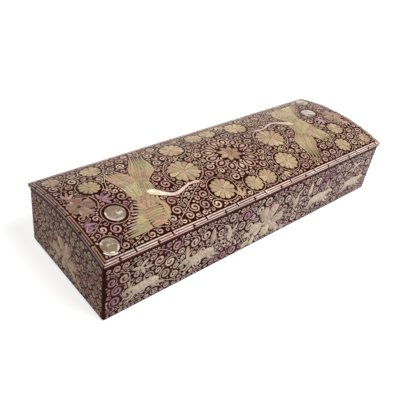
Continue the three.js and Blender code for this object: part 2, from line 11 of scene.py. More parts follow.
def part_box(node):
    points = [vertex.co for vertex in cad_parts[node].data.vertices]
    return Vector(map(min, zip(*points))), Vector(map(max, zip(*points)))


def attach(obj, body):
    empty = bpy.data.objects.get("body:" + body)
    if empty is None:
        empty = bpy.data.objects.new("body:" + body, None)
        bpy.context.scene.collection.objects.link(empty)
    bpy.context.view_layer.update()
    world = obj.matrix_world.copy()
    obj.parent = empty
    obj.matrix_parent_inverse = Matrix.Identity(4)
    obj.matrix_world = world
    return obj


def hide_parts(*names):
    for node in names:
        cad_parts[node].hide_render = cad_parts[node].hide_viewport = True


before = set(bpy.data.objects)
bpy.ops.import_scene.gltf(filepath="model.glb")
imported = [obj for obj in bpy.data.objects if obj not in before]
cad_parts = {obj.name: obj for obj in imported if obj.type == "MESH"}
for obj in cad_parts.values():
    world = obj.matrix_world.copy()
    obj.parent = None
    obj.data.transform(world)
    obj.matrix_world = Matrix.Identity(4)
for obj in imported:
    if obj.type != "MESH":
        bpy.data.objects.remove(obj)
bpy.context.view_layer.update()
MM = 0.001


# ---- The table top and the camera ----
# A plain white table under a plain white sky. The camera looks down on the front left corner of the box, and
# its place was found by fitting a pinhole camera to the edges of the box.
CAMERA_TURN = math.radians(-46.05)
CAMERA_HEIGHT = math.radians(36.6)
CAMERA_ROLL = math.radians(9.25)
CAMERA_DISTANCE = 366.5
CAMERA_SLIDE = (-13.4, 6.4)
CAMERA_TARGET = Vector((0, 0, 0.8))
CAMERA_LENS = 46.68

backward = Vector((
    math.sin(CAMERA_TURN) * math.cos(CAMERA_HEIGHT),
    -math.cos(CAMERA_TURN) * math.cos(CAMERA_HEIGHT),
    math.sin(CAMERA_HEIGHT),
))
level = (-backward).cross(Vector((0, 0, 1))).normalized()
upright = level.cross(-backward)
rightward = level * math.cos(CAMERA_ROLL) + upright * math.sin(CAMERA_ROLL)
upward = upright * math.cos(CAMERA_ROLL) - level * math.sin(CAMERA_ROLL)
eye = CAMERA_TARGET + backward * CAMERA_DISTANCE + rightward * CAMERA_SLIDE[0] + upward * CAMERA_SLIDE[1]

camera_data = bpy.data.cameras.new("camera")
camera_data.lens = CAMERA_LENS
camera_data.sensor_width = 36
camera_data.clip_start = 0.01
camera = bpy.data.objects.new("camera", camera_data)
camera.matrix_world = Matrix.Translation(eye * MM) @ Matrix((rightward, upward, backward)).transposed().to_4x4()
bpy.context.scene.collection.objects.link(camera)
bpy.context.scene.camera = camera


def add_node(tree, kind, settings=None, **inputs):
    """One shader node with its settings, and its inputs by name or by number, as values or as links."""
    made = tree.nodes.new(kind)
    for name, value in (settings or {}).items():
        setattr(made, name, value)
    for name, value in inputs.items():
        socket = made.inputs[int(name[1:])] if name[0] == "_" else made.inputs[name.replace("_", " ")]
        if isinstance(value, bpy.types.NodeSocket):
            tree.links.new(value, socket)
        else:
            socket.default_value = value
    return made


def maths(tree, operation, *values, **settings):
    """The outcome of one step of arithmetic on values or links."""
    numbered = {f"_{k}": value for k, value in enumerate(values)}
    return add_node(tree, "ShaderNodeMath", {"operation": operation, **settings}, **numbered).outputs[0]


def cleared_tree(owner):
    """The emptied shader tree of a material or a world."""
    owner.use_nodes = True
    owner.node_tree.nodes.clear()
    return owner.node_tree


TABLE_SIZE = 3
TABLE_GREY = 0.42
TABLE_GLOW = 0.78
table_mesh = bpy.data.meshes.new("table_top")
table_mesh.from_pydata(
    [(x * TABLE_SIZE, y * TABLE_SIZE, 0) for x, y in ((-1, -1), (1, -1), (1, 1), (-1, 1))], [], [(0, 1, 2, 3)]
)
table = bpy.data.objects.new("table_top", table_mesh)
bpy.context.scene.collection.objects.link(table)
table_paint = bpy.data.materials.new("table_white")
tree = cleared_tree(table_paint)
matt = add_node(tree, "ShaderNodeBsdfDiffuse", Color=(TABLE_GREY, TABLE_GREY, TABLE_GREY, 1))
glow = add_node(tree, "ShaderNodeEmission", Color=(1, 1, 1, 1), Strength=TABLE_GLOW)
rays = add_node(tree, "ShaderNodeLightPath").outputs
looked_at = maths(tree, "MAXIMUM", rays["Is Camera Ray"], rays["Is Glossy Ray"])
seen = maths(tree, "MAXIMUM", looked_at, rays["Is Transmission Ray"])
lifted = add_node(tree, "ShaderNodeAddShader", _0=matt.outputs[0], _1=glow.outputs[0])
mixed = add_node(tree, "ShaderNodeMixShader", _0=seen, _1=matt.outputs[0], _2=lifted.outputs[0])
add_node(tree, "ShaderNodeOutputMaterial", Surface=mixed.outputs[0])
table_mesh.materials.append(table_paint)


# ---- The carcass ----
# Five boards of light wood: a bottom between the two ends, and a front and a back. The ends rise in an arch.
# The joints are glued and filled, and the whole is coated in maroon lacquer and rubbed down, so none shows.
BOX_LENGTH = 240
BOX_DEPTH = 79
WALL_HEIGHT = 38.5
WALL_THICKNESS = 5
FELT_THICKNESS = 0.8
FLOOR_TOP = 4.8
CORNER_RADIUS = 1.5
ARCH_RISE = 5.5
SHELL_PROUD = 0.06
ARCH_STEPS = 40
CORNER_STEPS = 6

wall_top = FELT_THICKNESS + WALL_HEIGHT
seat_radius = ((BOX_DEPTH / 2) ** 2 + ARCH_RISE ** 2) / (2 * ARCH_RISE)
arch_centre = wall_top - math.sqrt(seat_radius ** 2 - (BOX_DEPTH / 2) ** 2)
wall_x = BOX_LENGTH / 2 - SHELL_PROUD
wall_y = BOX_DEPTH / 2 - SHELL_PROUD


def arch_height(radius, y):
    """Height of an arched layer of this radius above the foot of the box, at the distance y from its middle."""
    return arch_centre + math.sqrt(radius ** 2 - y ** 2)


def swung(x, y, reach, angle, turn=1):
    """The place at a reach and an angle from a point. A turn of -1 sets it half round the middle of the box."""
    return (turn * (x + reach * math.cos(angle)), turn * (y + reach * math.sin(angle)))


def right_edge(half_x, half_y, radius):
    """The right half of a board's rounded outline, from its front edge to its back edge."""
    radius = max(radius, 0.05)
    corner_x, corner_y = half_x - radius, half_y - radius
    points = []
    for step in range(CORNER_STEPS + 1):
        angle = (step / CORNER_STEPS - 1) * math.pi / 2
        points.append(swung(corner_x, -corner_y, radius, angle))
    for step in range(1, ARCH_STEPS):
        points.append((half_x, corner_y * (2 * step / ARCH_STEPS - 1)))
    for step in range(CORNER_STEPS + 1):
        angle = step / CORNER_STEPS * math.pi / 2
        points.append(swung(corner_x, corner_y, radius, angle))
    return points


def turned_block(half_x, half_y, radius, rings):
    """A closed body from rings, each with its inset, the rule for its height and its rubbed share."""
    points, faces, rubbed = [], [], []
    count = len(right_edge(half_x, half_y, radius))
    around = 2 * count
    for inset, height, worn in rings:
        right = right_edge(half_x - inset, half_y - inset, radius - inset)
        for x, y in right:
            points.append((x, y, height(y)))
        for x, y in reversed(right):
            points.append((-x, y, height(y)))
        rubbed += [worn] * around
    for ring in range(len(rings) - 1):
        low, high = ring * around, (ring + 1) * around
        for step in range(around):
            after = (step + 1) % around
            faces.append((low + step, low + after, high + after, high + step))
    last = (len(rings) - 1) * around
    for step in range(count - 1):
        left, left_after = around - 1 - step, around - 2 - step
        faces.append((left, left_after, step + 1, step))
        faces.append((last + step, last + step + 1, last + left_after, last + left))
    return points, faces, rubbed


CREASE = 35


def make_piece(name, points, faces, marks=None, sharp=CREASE):
    """A mesh object of the given points in millimetres, with a number on each point for its finish."""
    mesh = bpy.data.meshes.new(name)
    mesh.from_pydata([(x * MM, y * MM, z * MM) for x, y, z in points], [], faces)
    for label, values in (marks or {}).items():
        mesh.attributes.new(label, "FLOAT", "POINT").data.foreach_set("value", values)
    mesh.polygons.foreach_set("use_smooth", [True] * len(mesh.polygons))
    mesh.set_sharp_from_angle(angle=math.radians(sharp))
    mesh.update()
    piece = bpy.data.objects.new(name, mesh)
    bpy.context.scene.collection.objects.link(piece)
    return piece


def cut_out(piece, boxes):
    """Chops square-cornered recesses out of a piece."""
    for low, high in boxes:
        corners = [(x, y, z) for x in (low[0], high[0]) for y in (low[1], high[1]) for z in (low[2], high[2])]
        sides = [(0, 1, 3, 2), (4, 6, 7, 5), (0, 4, 5, 1), (2, 3, 7, 6), (0, 2, 6, 4), (1, 5, 7, 3)]
        chisel = make_piece("chisel", corners, sides)
        cut = piece.modifiers.new("recess", "BOOLEAN")
        cut.operation = "DIFFERENCE"
        cut.solver = "EXACT"
        cut.object = chisel
        bpy.context.view_layer.update()
        shaped = bpy.data.meshes.new_from_object(piece.evaluated_get(bpy.context.evaluated_depsgraph_get()))
        piece.modifiers.clear()
        piece.data = shaped
        bpy.data.objects.remove(chisel)
    piece.data.set_sharp_from_angle(angle=math.radians(CREASE))
    return piece


LEAF_THICKNESS = 0.6
HINGE_SPREAD = 70
HINGE_LENGTH = 22
LEAF_INNER_Y = 35.7
HINGE_Z = 39.45
HALF_LEAF_SPACING = 0.2
MORTISE_GAP = 0.3
EDGE_ROUNDING = 0.5


def seat_line(y):
    return arch_height(seat_radius, y)


carcass_rings = [
    (0.7, lambda y: FELT_THICKNESS, 0.5),
    (0.2, lambda y: FELT_THICKNESS + 0.2, 1),
    (0, lambda y: FELT_THICKNESS + 0.7, 0.2),
    (0, lambda y: FELT_THICKNESS + 1.5, 0),
    (0, lambda y: seat_line(y) - 1.2, 0),
    (0, lambda y: seat_line(y) - EDGE_ROUNDING, 0.6),
    (0.15, lambda y: seat_line(y) - 0.15, 1),
    (EDGE_ROUNDING, seat_line, 0.8),
    (2.5, seat_line, 0.5),
    (WALL_THICKNESS - 0.4 - SHELL_PROUD, seat_line, 0.8),
    (WALL_THICKNESS - 0.1 - SHELL_PROUD, lambda y: seat_line(y) - 0.12, 1),
    (WALL_THICKNESS - SHELL_PROUD, lambda y: seat_line(y) - 0.5, 0.3),
    (WALL_THICKNESS - SHELL_PROUD, lambda y: FLOOR_TOP, 0),
]
carcass_points, carcass_faces, carcass_rubbed = turned_block(wall_x, wall_y, CORNER_RADIUS, carcass_rings)
carcass = make_piece("carcass", carcass_points, carcass_faces, {"rubbed": carcass_rubbed})


def hinge_recesses(low, high):
    """The boxes that clear the leaves of both hinges between two heights."""
    reach = HINGE_LENGTH / 2 + MORTISE_GAP
    return [((x - reach, LEAF_INNER_Y - MORTISE_GAP, low), (x + reach, BOX_DEPTH, high))
            for x in (-HINGE_SPREAD, HINGE_SPREAD)]


leaf_room = HALF_LEAF_SPACING + LEAF_THICKNESS + MORTISE_GAP
carcass = cut_out(carcass, hinge_recesses(HINGE_Z - leaf_room, wall_top + ARCH_RISE))


def paint(red, green, blue):
    """A colour read off a paint card, from 0 to 255, as the shader takes it."""
    card = [value / 255 for value in (red, green, blue)]
    return [v / 12.92 if v <= 0.04045 else ((v + 0.055) / 1.055) ** 2.4 for v in card] + [1]


def new_group(name, inputs, outputs):
    """A shader node group, with the sockets of its named inputs and outputs."""
    group = bpy.data.node_groups.new(name, "ShaderNodeTree")
    for label, kind, value in inputs:
        group.interface.new_socket(label, in_out="INPUT", socket_type="NodeSocket" + kind).default_value = value
    for label, kind in outputs:
        group.interface.new_socket(label, in_out="OUTPUT", socket_type="NodeSocket" + kind)
    return group, add_node(group, "NodeGroupInput").outputs, add_node(group, "NodeGroupOutput").inputs


def blend_colours(tree, share, first, second, mode="MIX"):
    """Two colours mixed by a share."""
    made = add_node(tree, "ShaderNodeMix", {"data_type": "RGBA", "blend_type": mode},
                    _0=share, _6=first, _7=second)
    return made.outputs[2]


def stretch_range(tree, value, low, high, to_low=0.0, to_high=1.0):
    """A value moved from one range to another, and held inside it."""
    made = add_node(tree, "ShaderNodeMapRange", {"interpolation_type": "SMOOTHSTEP"}, Value=value,
                    From_Min=low, From_Max=high, To_Min=to_low, To_Max=to_high)
    return made.outputs[0]


def cloud(tree, scale, detail=3.0, where=None):
    """Soft random patches of a given fineness."""
    where = where or add_node(tree, "ShaderNodeTexCoord").outputs["Object"]
    return add_node(tree, "ShaderNodeTexNoise", Vector=where, Scale=scale, Detail=detail).outputs["Fac"]


# Lacquer brushed on in many coats: cloudy in its depth, rubbed paler along the edges, with a faint ripple
lacquer_depth, given, result = new_group(
    "lacquer_depth",
    [("Deep", "Color", paint(46, 12, 7)), ("Cloud", "Color", paint(62, 18, 12)),
     ("Rubbed", "Color", paint(92, 34, 28)), ("Worn", "Float", 0.0)],
    [("Colour", "Color"), ("Roughness", "Float"), ("Height", "Float")],
)
clouded = blend_colours(lacquer_depth, stretch_range(lacquer_depth, cloud(lacquer_depth, 70), 0.35, 0.65),
                        given["Deep"], given["Cloud"])
patchy = maths(lacquer_depth, "MULTIPLY", given["Worn"],
               stretch_range(lacquer_depth, cloud(lacquer_depth, 220, 5.0), 0.3, 0.6, 0.45, 1.0))
lacquer_depth.links.new(blend_colours(lacquer_depth, patchy, clouded, given["Rubbed"]), result["Colour"])
lacquer_depth.links.new(stretch_range(lacquer_depth, cloud(lacquer_depth, 400, 4.0), 0.3, 0.7, 0.24, 0.4),
                        result["Roughness"])
lacquer_depth.links.new(cloud(lacquer_depth, 900, 2.0), result["Height"])


def finish_material(name, group, values, bump, principled, attribute=None):
    """A material of one Principled shader, with its colour, roughness and bump from a node group."""
    made = bpy.data.materials.new(name)
    tree = cleared_tree(made)
    effect = add_node(tree, "ShaderNodeGroup", {"node_tree": group})
    for label, value in values.items():
        effect.inputs[label].default_value = value
    if attribute:
        mark = add_node(tree, "ShaderNodeAttribute",
                        {"attribute_name": attribute[0], "attribute_type": "GEOMETRY"})
        tree.links.new(mark.outputs["Fac"], effect.inputs[attribute[1]])
    relief = add_node(tree, "ShaderNodeBump", Strength=bump[0], Distance=bump[1],
                      Height=effect.outputs["Height"])
    shader = add_node(tree, "ShaderNodeBsdfPrincipled", Base_Color=effect.outputs["Colour"],
                      Roughness=effect.outputs["Roughness"], Normal=relief.outputs[0], **principled)
    add_node(tree, "ShaderNodeOutputMaterial", Surface=shader.outputs[0])
    return made


LACQUER_RIPPLE = (0.06, 0.0004)
UPRIGHT = 0.6
maroon_lacquer = finish_material(
    "maroon_lacquer", lacquer_depth, {}, LACQUER_RIPPLE,
    {"Specular_IOR_Level": 0.05, "Coat_Weight": 1.0, "Coat_Roughness": 0.05, "Coat_IOR": 1.14},
    ("rubbed", "Worn"))
dull_lacquer = finish_material(
    "dull_lacquer", lacquer_depth, {"Deep": paint(54, 14, 8), "Cloud": paint(70, 22, 14)}, LACQUER_RIPPLE,
    {"Specular_IOR_Level": 0.02, "Coat_Weight": 0.2, "Coat_Roughness": 0.12, "Coat_IOR": 1.1},
    ("rubbed", "Worn"))


def lacquered(piece):
    """Coats a piece. Its upright faces are rubbed down to a duller face than the rest."""
    piece.data.materials.append(maroon_lacquer)
    piece.data.materials.append(dull_lacquer)
    for face in piece.data.polygons:
        if abs(face.normal.z) < UPRIGHT:
            face.material_index = 1


lacquered(carcass)
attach(carcass, "box")
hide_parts("front_wall", "back_wall", "left_end_wall", "right_end_wall", "bottom_panel")

# ---- The felt under the box ----
# A sheet of dark wool felt, cut a little smaller than the bottom and glued on so that the box doesn't scratch.
FELT_INSET = 1.5
FELT_CORNER = 2
felt_rings = [
    (0.25, lambda y: 0.02, 0),
    (0, lambda y: 0.25, 0),
    (0.05, lambda y: FELT_THICKNESS - 0.1, 0),
    (0.2, lambda y: FELT_THICKNESS - 0.02, 0),
]
felt_points, felt_faces, _ = turned_block(
    BOX_LENGTH / 2 - FELT_INSET, BOX_DEPTH / 2 - FELT_INSET, FELT_CORNER, felt_rings)
base_felt = make_piece("underside_felt", felt_points, felt_faces)

# Cloth with a soft nap: short fibres that lie in drifts and catch the light unevenly
nap, given, result = new_group(
    "cloth_nap",
    [("Shade", "Color", paint(60, 16, 22)), ("Light", "Color", paint(120, 34, 44)), ("Drift", "Float", 60.0),
     ("Fibre", "Float", 1800.0)],
    [("Colour", "Color"), ("Roughness", "Float"), ("Height", "Float")],
)
drifts, fibres = cloud(nap, given["Drift"]), cloud(nap, given["Fibre"], 4.0)
lit = maths(nap, "MULTIPLY_ADD", fibres, 0.7, stretch_range(nap, drifts, 0.35, 0.65, -0.15, 0.35))
nap.links.new(blend_colours(nap, lit, given["Shade"], given["Light"]), result["Colour"])
nap.links.new(stretch_range(nap, fibres, 0.3, 0.7, 0.85, 1.0), result["Roughness"])
nap.links.new(fibres, result["Height"])

dark_felt = finish_material(
    "dark_felt", nap, {"Shade": paint(28, 22, 22), "Light": paint(62, 52, 50), "Fibre": 1300.0}, (0.6, 0.0006),
    {"Sheen_Weight": 0.25, "Sheen_Roughness": 0.6})
base_felt.data.materials.append(dark_felt)
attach(base_felt, "box")
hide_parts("base_felt")

# ---- The velvet inside the box ----
# Wine velvet on thin card: one piece on the floor and one on each wall, pushed in with their edges turned over.
# The floor piece is slightly padded, so it swells towards the middle.
wine_velvet = finish_material("wine_velvet", nap, {"Drift": 45.0, "Fibre": 2200.0}, (0.5, 0.0004),
                              {"Sheen_Weight": 0.7, "Sheen_Roughness": 0.35, "Sheen_Tint": paint(190, 90, 100)})


VELVET_CREASE = 80


def velvet_pad(name, low, high, facing, steps, swell, top_rule=None):
    """A thin lined board with rounded edges. Its visible face looks along one axis and may swell a little."""
    axis = 0 if facing[0] else (1 if facing[1] else 2)
    sign = facing[axis]
    along, across = [a for a in range(3) if a != axis]
    back = low[axis] if sign > 0 else high[axis]
    front = high[axis] if sign > 0 else low[axis]
    soft = min(0.45, abs(front - back) / 2)

    def spread(count):
        return [0, 0.004] + [k / count for k in range(1, count)] + [0.996, 1]

    us, vs = spread(steps[0]), spread(steps[1])
    points, faces = [], []
    for layer in (0, 1):
        for v in vs:
            for u in us:
                edge = min(u, 1 - u, v, 1 - v) == 0
                spot = [0.0, 0.0, 0.0]
                spot[along] = low[along] + (high[along] - low[along]) * u
                spot[across] = low[across] + (high[across] - low[across]) * v
                if top_rule and across == 2:
                    reach = top_rule(spot[along]) - low[2]
                    spot[2] = low[2] + reach * v
                if layer == 0:
                    spot[axis] = back
                else:
                    crown = swell * (1 - (2 * u - 1) ** 4) * (1 - (2 * v - 1) ** 4)
                    spot[axis] = front - sign * ((soft if edge else 0) + swell - crown)
                points.append(tuple(spot))
    wide, tall = len(us), len(vs)
    top = wide * tall
    flip = (sign > 0) != (axis == 1)
    for j in range(tall - 1):
        for i in range(wide - 1):
            a, b, c, d = j * wide + i, j * wide + i + 1, (j + 1) * wide + i + 1, (j + 1) * wide + i
            faces.append((a, d, c, b) if flip else (a, b, c, d))
            faces.append((top + a, top + b, top + c, top + d) if flip else (top + a, top + d, top + c, top + b))
    rim = [i for i in range(wide)] + [j * wide + wide - 1 for j in range(1, tall)]
    rim += [(tall - 1) * wide + i for i in range(wide - 2, -1, -1)] + [j * wide for j in range(tall - 2, 0, -1)]
    for k, a in enumerate(rim):
        b = rim[(k + 1) % len(rim)]
        faces.append((a, b, top + b, top + a) if flip else (b, a, top + a, top + b))
    piece = make_piece(name, points, faces, sharp=VELVET_CREASE)
    piece.data.materials.append(wine_velvet)
    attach(piece, "box")
    return piece


def modelled_corners(name):
    """The low and the high corner of a piece of the model, in millimetres."""
    return [[value / MM for value in corner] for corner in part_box(name)]


for label, facing, steps, swell in (
    ("floor", (0, 0, 1), (24, 10), 0.35),
    ("front", (0, 1, 0), (24, 6), 0.1),
    ("back", (0, -1, 0), (24, 6), 0.1),
    ("left_end", (1, 0, 0), (16, 6), 0.1),
    ("right_end", (-1, 0, 0), (16, 6), 0.1),
):
    low, high = modelled_corners(label + "_lining")
    rule = (lambda y: seat_line(y) - 1) if label.endswith("end") else None
    velvet = velvet_pad(label + "_velvet", low, high, facing, steps, swell, rule)
    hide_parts(label + "_lining")

# ---- The lid ----
# A plate bent to the arch, lying on the walls and overhanging them slightly. It is lacquered maroon, and its
# thin edge is rubbed back to a reddish brown. Two shallow recesses in the underside take the hinge leaves.
LID_OVERHANG = 0.6
PARTING_GAP = 0.3
LID_THICKNESS = 2.6
LID_EDGE_ROUNDING = 0.5
LID_CORNER_RADIUS = 0.8

lid_under_radius = seat_radius + PARTING_GAP
lid_shell_radius = lid_under_radius + LID_THICKNESS
lid_radius = lid_shell_radius - SHELL_PROUD
lid_x = BOX_LENGTH / 2 + LID_OVERHANG - SHELL_PROUD
lid_y = BOX_DEPTH / 2 + LID_OVERHANG - SHELL_PROUD


def lid_top(y):
    return arch_height(lid_radius, y)


def lid_under(y):
    return arch_height(lid_under_radius, y)


lid_rings = [
    (0.4, lid_under, 0.7),
    (0.12, lambda y: lid_under(y) + 0.12, 1),
    (0, lambda y: lid_under(y) + 0.4, 1),
    (0, lambda y: lid_top(y) - LID_EDGE_ROUNDING, 1),
    (0.07, lambda y: lid_top(y) - 0.24, 1),
    (0.2, lambda y: lid_top(y) - 0.09, 0.8),
    (LID_EDGE_ROUNDING, lid_top, 0.2),
    (LID_EDGE_ROUNDING + 1, lid_top, 0),
]
lid_points, lid_faces, lid_rubbed = turned_block(lid_x, lid_y, LID_CORNER_RADIUS, lid_rings)
lid_plate = make_piece("lid_plate", lid_points, lid_faces, {"rubbed": lid_rubbed})
lid_plate = cut_out(lid_plate, hinge_recesses(wall_top - 1, HINGE_Z + leaf_room))
lacquered(lid_plate)
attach(lid_plate, "lid")
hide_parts("lid_panel")

# ---- The velvet under the lid ----
# One piece of the same velvet, glued to the hollow of the lid. It stops short of the walls, and its edges are
# turned over and pressed down.
LID_VELVET_THICKNESS = 1
LID_VELVET_CORNER = 1
_, (velvet_x, velvet_y, _) = modelled_corners("lid_lining")
velvet_rings = [
    (0.3, lambda y: lid_under(y) - 0.02, 0),
    (0.05, lambda y: lid_under(y) - 0.3, 0),
    (0.1, lambda y: lid_under(y) - LID_VELVET_THICKNESS + 0.35, 0),
    (0.5, lambda y: lid_under(y) - LID_VELVET_THICKNESS + 0.05, 0),
    (1.2, lambda y: lid_under(y) - LID_VELVET_THICKNESS, 0),
]
velvet_points, velvet_faces, _ = turned_block(velvet_x, velvet_y, LID_VELVET_CORNER, velvet_rings)
lid_velvet = make_piece("lid_velvet", velvet_points, [face[::-1] for face in velvet_faces], sharp=VELVET_CREASE)
lid_velvet.data.materials.append(wine_velvet)
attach(lid_velvet, "lid")
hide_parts("lid_lining")

# ---- The hinges ----
# Two small pressed brass butt hinges let into the back edge, each with three knuckles on a steel pin and held
# by four countersunk brass screws. Handling has dulled the brass unevenly.
metal_wear, given, result = new_group(
    "metal_wear",
    [("Bright", "Color", paint(205, 168, 98)), ("Dull", "Color", paint(140, 104, 58)),
     ("Scratch", "Float", 900.0)],
    [("Colour", "Color"), ("Roughness", "Float"), ("Height", "Float")],
)
place = add_node(metal_wear, "ShaderNodeTexCoord").outputs["Object"]
drawn = add_node(metal_wear, "ShaderNodeMapping", Vector=place, Scale=(0.08, 1, 1)).outputs[0]
scratches = cloud(metal_wear, given["Scratch"], 5.0, drawn)
stains = cloud(metal_wear, 260, 5.0)
tarnish = stretch_range(metal_wear, stains, 0.4, 0.65)
metal_wear.links.new(blend_colours(metal_wear, tarnish, given["Bright"], given["Dull"]), result["Colour"])
rough = maths(metal_wear, "MULTIPLY_ADD", scratches, 0.3,
              stretch_range(metal_wear, stains, 0.35, 0.7, 0.1, 0.25))
metal_wear.links.new(rough, result["Roughness"])
metal_wear.links.new(scratches, result["Height"])

METAL_RIPPLE = (0.15, 0.0002)
HINGE_EDGE_ROUNDING = 0.05
HINGE_CREASE = 40
aged_brass = finish_material("aged_brass", metal_wear, {}, METAL_RIPPLE, {"Metallic": 1.0})
pin_steel = finish_material(
    "pin_steel", metal_wear, {"Bright": paint(190, 188, 184), "Dull": paint(120, 112, 104)}, METAL_RIPPLE,
    {"Metallic": 1.0})
for side in ("left", "right"):
    for part in ("box_leaf", "lid_leaf", "pin", "box_screw_1", "box_screw_2", "lid_screw_1", "lid_screw_2"):
        hinge_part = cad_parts[f"{side}_hinge_{part}"]
        hinge_part.data.materials.clear()
        hinge_part.data.materials.append(pin_steel if part == "pin" else aged_brass)
        soft_edge = hinge_part.modifiers.new("rounded_edges", "BEVEL")
        soft_edge.width = HINGE_EDGE_ROUNDING * MM
        soft_edge.segments = 2
        soft_edge.limit_method = "ANGLE"
        soft_edge.angle_limit = math.radians(HINGE_CREASE)

# ---- Cutting and laying the shell ----
# Each slip is sawn or knife-cut from a thin sheet of abalone or pearl shell, laid in the wet lacquer and
# polished until its edges are rounded and its face stands barely proud. No two slips lie quite level or share
# one colour.
SLIP_BEVEL = 0.14
SLIP_FOOT = -0.08
SLIP_SHOULDER = 0.03
SLIP_CROWN = 0.045


class ShellSheet:
    """The slips for one piece of inlay, drawn flat: along, across and up from the lacquer, in millimetres."""

    def __init__(self, seed):
        self.points, self.faces, self.tones, self.laid, self.violet = [], [], [], [], []
        self.chance = random.Random(seed)

    def slip(self, path, widths, tone=None, raised=0.0):
        """One strip of shell along a path, with its width at each point of it."""
        tone = (self.chance.random() if tone is None
                else min(max(1, tone), max(0, tone + self.chance.uniform(-0.12, 0.12))))
        lean = self.chance.uniform(-0.012, 0.012)
        size, start, count = 5, len(self.points), len(path)
        self.laid.append((path, widths))
        for k, (x, y) in enumerate(path):
            ahead = path[min(k + 1, count - 1)]
            behind = path[max(k - 1, 0)]
            into = (x - behind[0], y - behind[1]) if k else (ahead[0] - x, ahead[1] - y)
            out = (ahead[0] - x, ahead[1] - y) if k < count - 1 else into
            into_length, out_length = math.hypot(*into) or 1, math.hypot(*out) or 1
            heading = (into[0] / into_length + out[0] / out_length, into[1] / into_length + out[1] / out_length)
            length = math.hypot(*heading) or 1
            heading = (heading[0] / length, heading[1] / length)
            mitre = max(0.6, (heading[0] * out[0] + heading[1] * out[1]) / out_length)
            half = widths[k] / 2 / mitre
            inner = max(0.5, 1 - SLIP_BEVEL / max(half, 0.05))
            for across, lift in ((-1, SLIP_FOOT), (-inner, SLIP_SHOULDER), (0, SLIP_CROWN),
                                 (inner, SLIP_SHOULDER), (1, SLIP_FOOT)):
                self.points.append((x + heading[1] * half * across, y - heading[0] * half * across,
                                    lift + (lean * across + raised if lift > 0 else 0)))
        for k in range(count - 1):
            for j in range(size):
                after = (j + 1) % size
                a, b = start + k * size + j, start + k * size + after
                self.faces.append((a, b, b + size, a + size))
        self.faces.append(tuple(start + j for j in range(size))[::-1])
        self.faces.append(tuple(start + (count - 1) * size + j for j in range(size)))
        self.tones += [tone] * (size * count)

    def disc(self, x, y, radius, tone=None):
        """A round button of shell."""
        steps = 9
        path, widths = [], []
        for k in range(steps):
            angle = math.pi * k / (steps - 1)
            path.append((x - radius * 0.995 * math.cos(angle), y))
            widths.append(max(0.12, 2 * radius * math.sin(angle)))
        self.slip(path, widths, tone)


def along_curve(points, count):
    """Points spaced along a smooth line through the given ones."""
    points = [points[0]] + list(points) + [points[-1]]
    spans = len(points) - 3
    result = []
    for k in range(count):
        place = min(k / (count - 1) * spans, spans - 1e-9)
        i, t = int(place), place - int(place)
        a, b, c, d = points[i:i + 4]
        result.append(tuple(
            0.5 * (2 * b[n] + (c[n] - a[n]) * t + (2 * a[n] - 5 * b[n] + 4 * c[n] - d[n]) * t * t
                   + (3 * b[n] - a[n] - 3 * c[n] + d[n]) * t ** 3)
            for n in (0, 1)))
    return result


def petal_widths(full, root, widest, count):
    """Widths of a petal from its root to its round tip."""
    result = []
    for k in range(count):
        t = k / (count - 1)
        if t < widest:
            result.append(full * (root + (1 - root) * math.sin(t / widest * math.pi / 2)))
        else:
            result.append(max(0.12, full * math.sqrt(max(0, 1 - ((t - widest) / (1 - widest)) ** 2))))
    return result


def leaf_widths(full, count):
    """Widths of a leaf, pointed at both ends."""
    return [max(0.12, full * math.sin(math.pi * (k / (count - 1)) ** 0.85) ** 0.8) for k in range(count)]


# Mother-of-pearl: cream and rose with green, gold and violet patches, fine wavy growth lines, a soft glitter
# and painted shade
nacre, given, result = new_group(
    "mother_of_pearl",
    [("Tone", "Float", 0.5), ("Cream", "Color", paint(214, 180, 160)), ("Rose", "Color", paint(190, 138, 124)),
     ("Green", "Color", paint(186, 182, 132)), ("Violet", "Color", paint(150, 110, 150)),
     ("Greenness", "Float", 0.5), ("Violetness", "Float", 0.5), ("Shade", "Float", 0.26)],
    [("Colour", "Color"), ("Roughness", "Float"), ("Height", "Float")],
)
place = add_node(nacre, "ShaderNodeTexCoord").outputs["Object"]
spin = maths(nacre, "MULTIPLY", given["Tone"], 40.0)
apart = add_node(nacre, "ShaderNodeCombineXYZ", Z=spin).outputs[0]
scattered = add_node(nacre, "ShaderNodeVectorMath", {"operation": "MULTIPLY_ADD"}, _0=apart,
                     _1=(0.0, 0.0, 0.01), _2=place).outputs[0]
rosy = maths(nacre, "ADD", cloud(nacre, 55, 2.0, place),
             maths(nacre, "MULTIPLY_ADD", given["Tone"], 0.5, -0.25))
colour = blend_colours(nacre, stretch_range(nacre, rosy, 0.3, 0.7), given["Cream"], given["Rose"])
greenish = maths(nacre, "ADD", cloud(nacre, 130, 2.0, scattered), given["Greenness"])
colour = blend_colours(nacre, stretch_range(nacre, greenish, 0.85, 1.2), colour, given["Green"])
# Violet comes in regions, and a tone above one marks a slip of violet shell
region = maths(nacre, "MULTIPLY_ADD", cloud(nacre, 22, 1.0, place), 1.1, -0.55)
marked = maths(nacre, "SUBTRACT", given["Tone"], 1.0, use_clamp=True)
regional = maths(nacre, "ADD", maths(nacre, "ADD", given["Violetness"], region), marked)
violet_share = maths(nacre, "ADD", cloud(nacre, 90, 3.0, scattered), regional)
colour = blend_colours(nacre, stretch_range(nacre, violet_share, 1.0, 1.5), colour, given["Violet"])
growth = add_node(nacre, "ShaderNodeTexWave", {"bands_direction": "DIAGONAL"}, Vector=scattered, Scale=160.0,
                  Distortion=9.0, Detail=3.0, Detail_Scale=1.5).outputs["Fac"]
glitter = maths(nacre, "MULTIPLY_ADD", cloud(nacre, 700, 2.0, scattered), 0.5, 0.76)
own = add_node(nacre, "ShaderNodeTexWhiteNoise", {"noise_dimensions": "1D"}, W=spin).outputs["Value"]
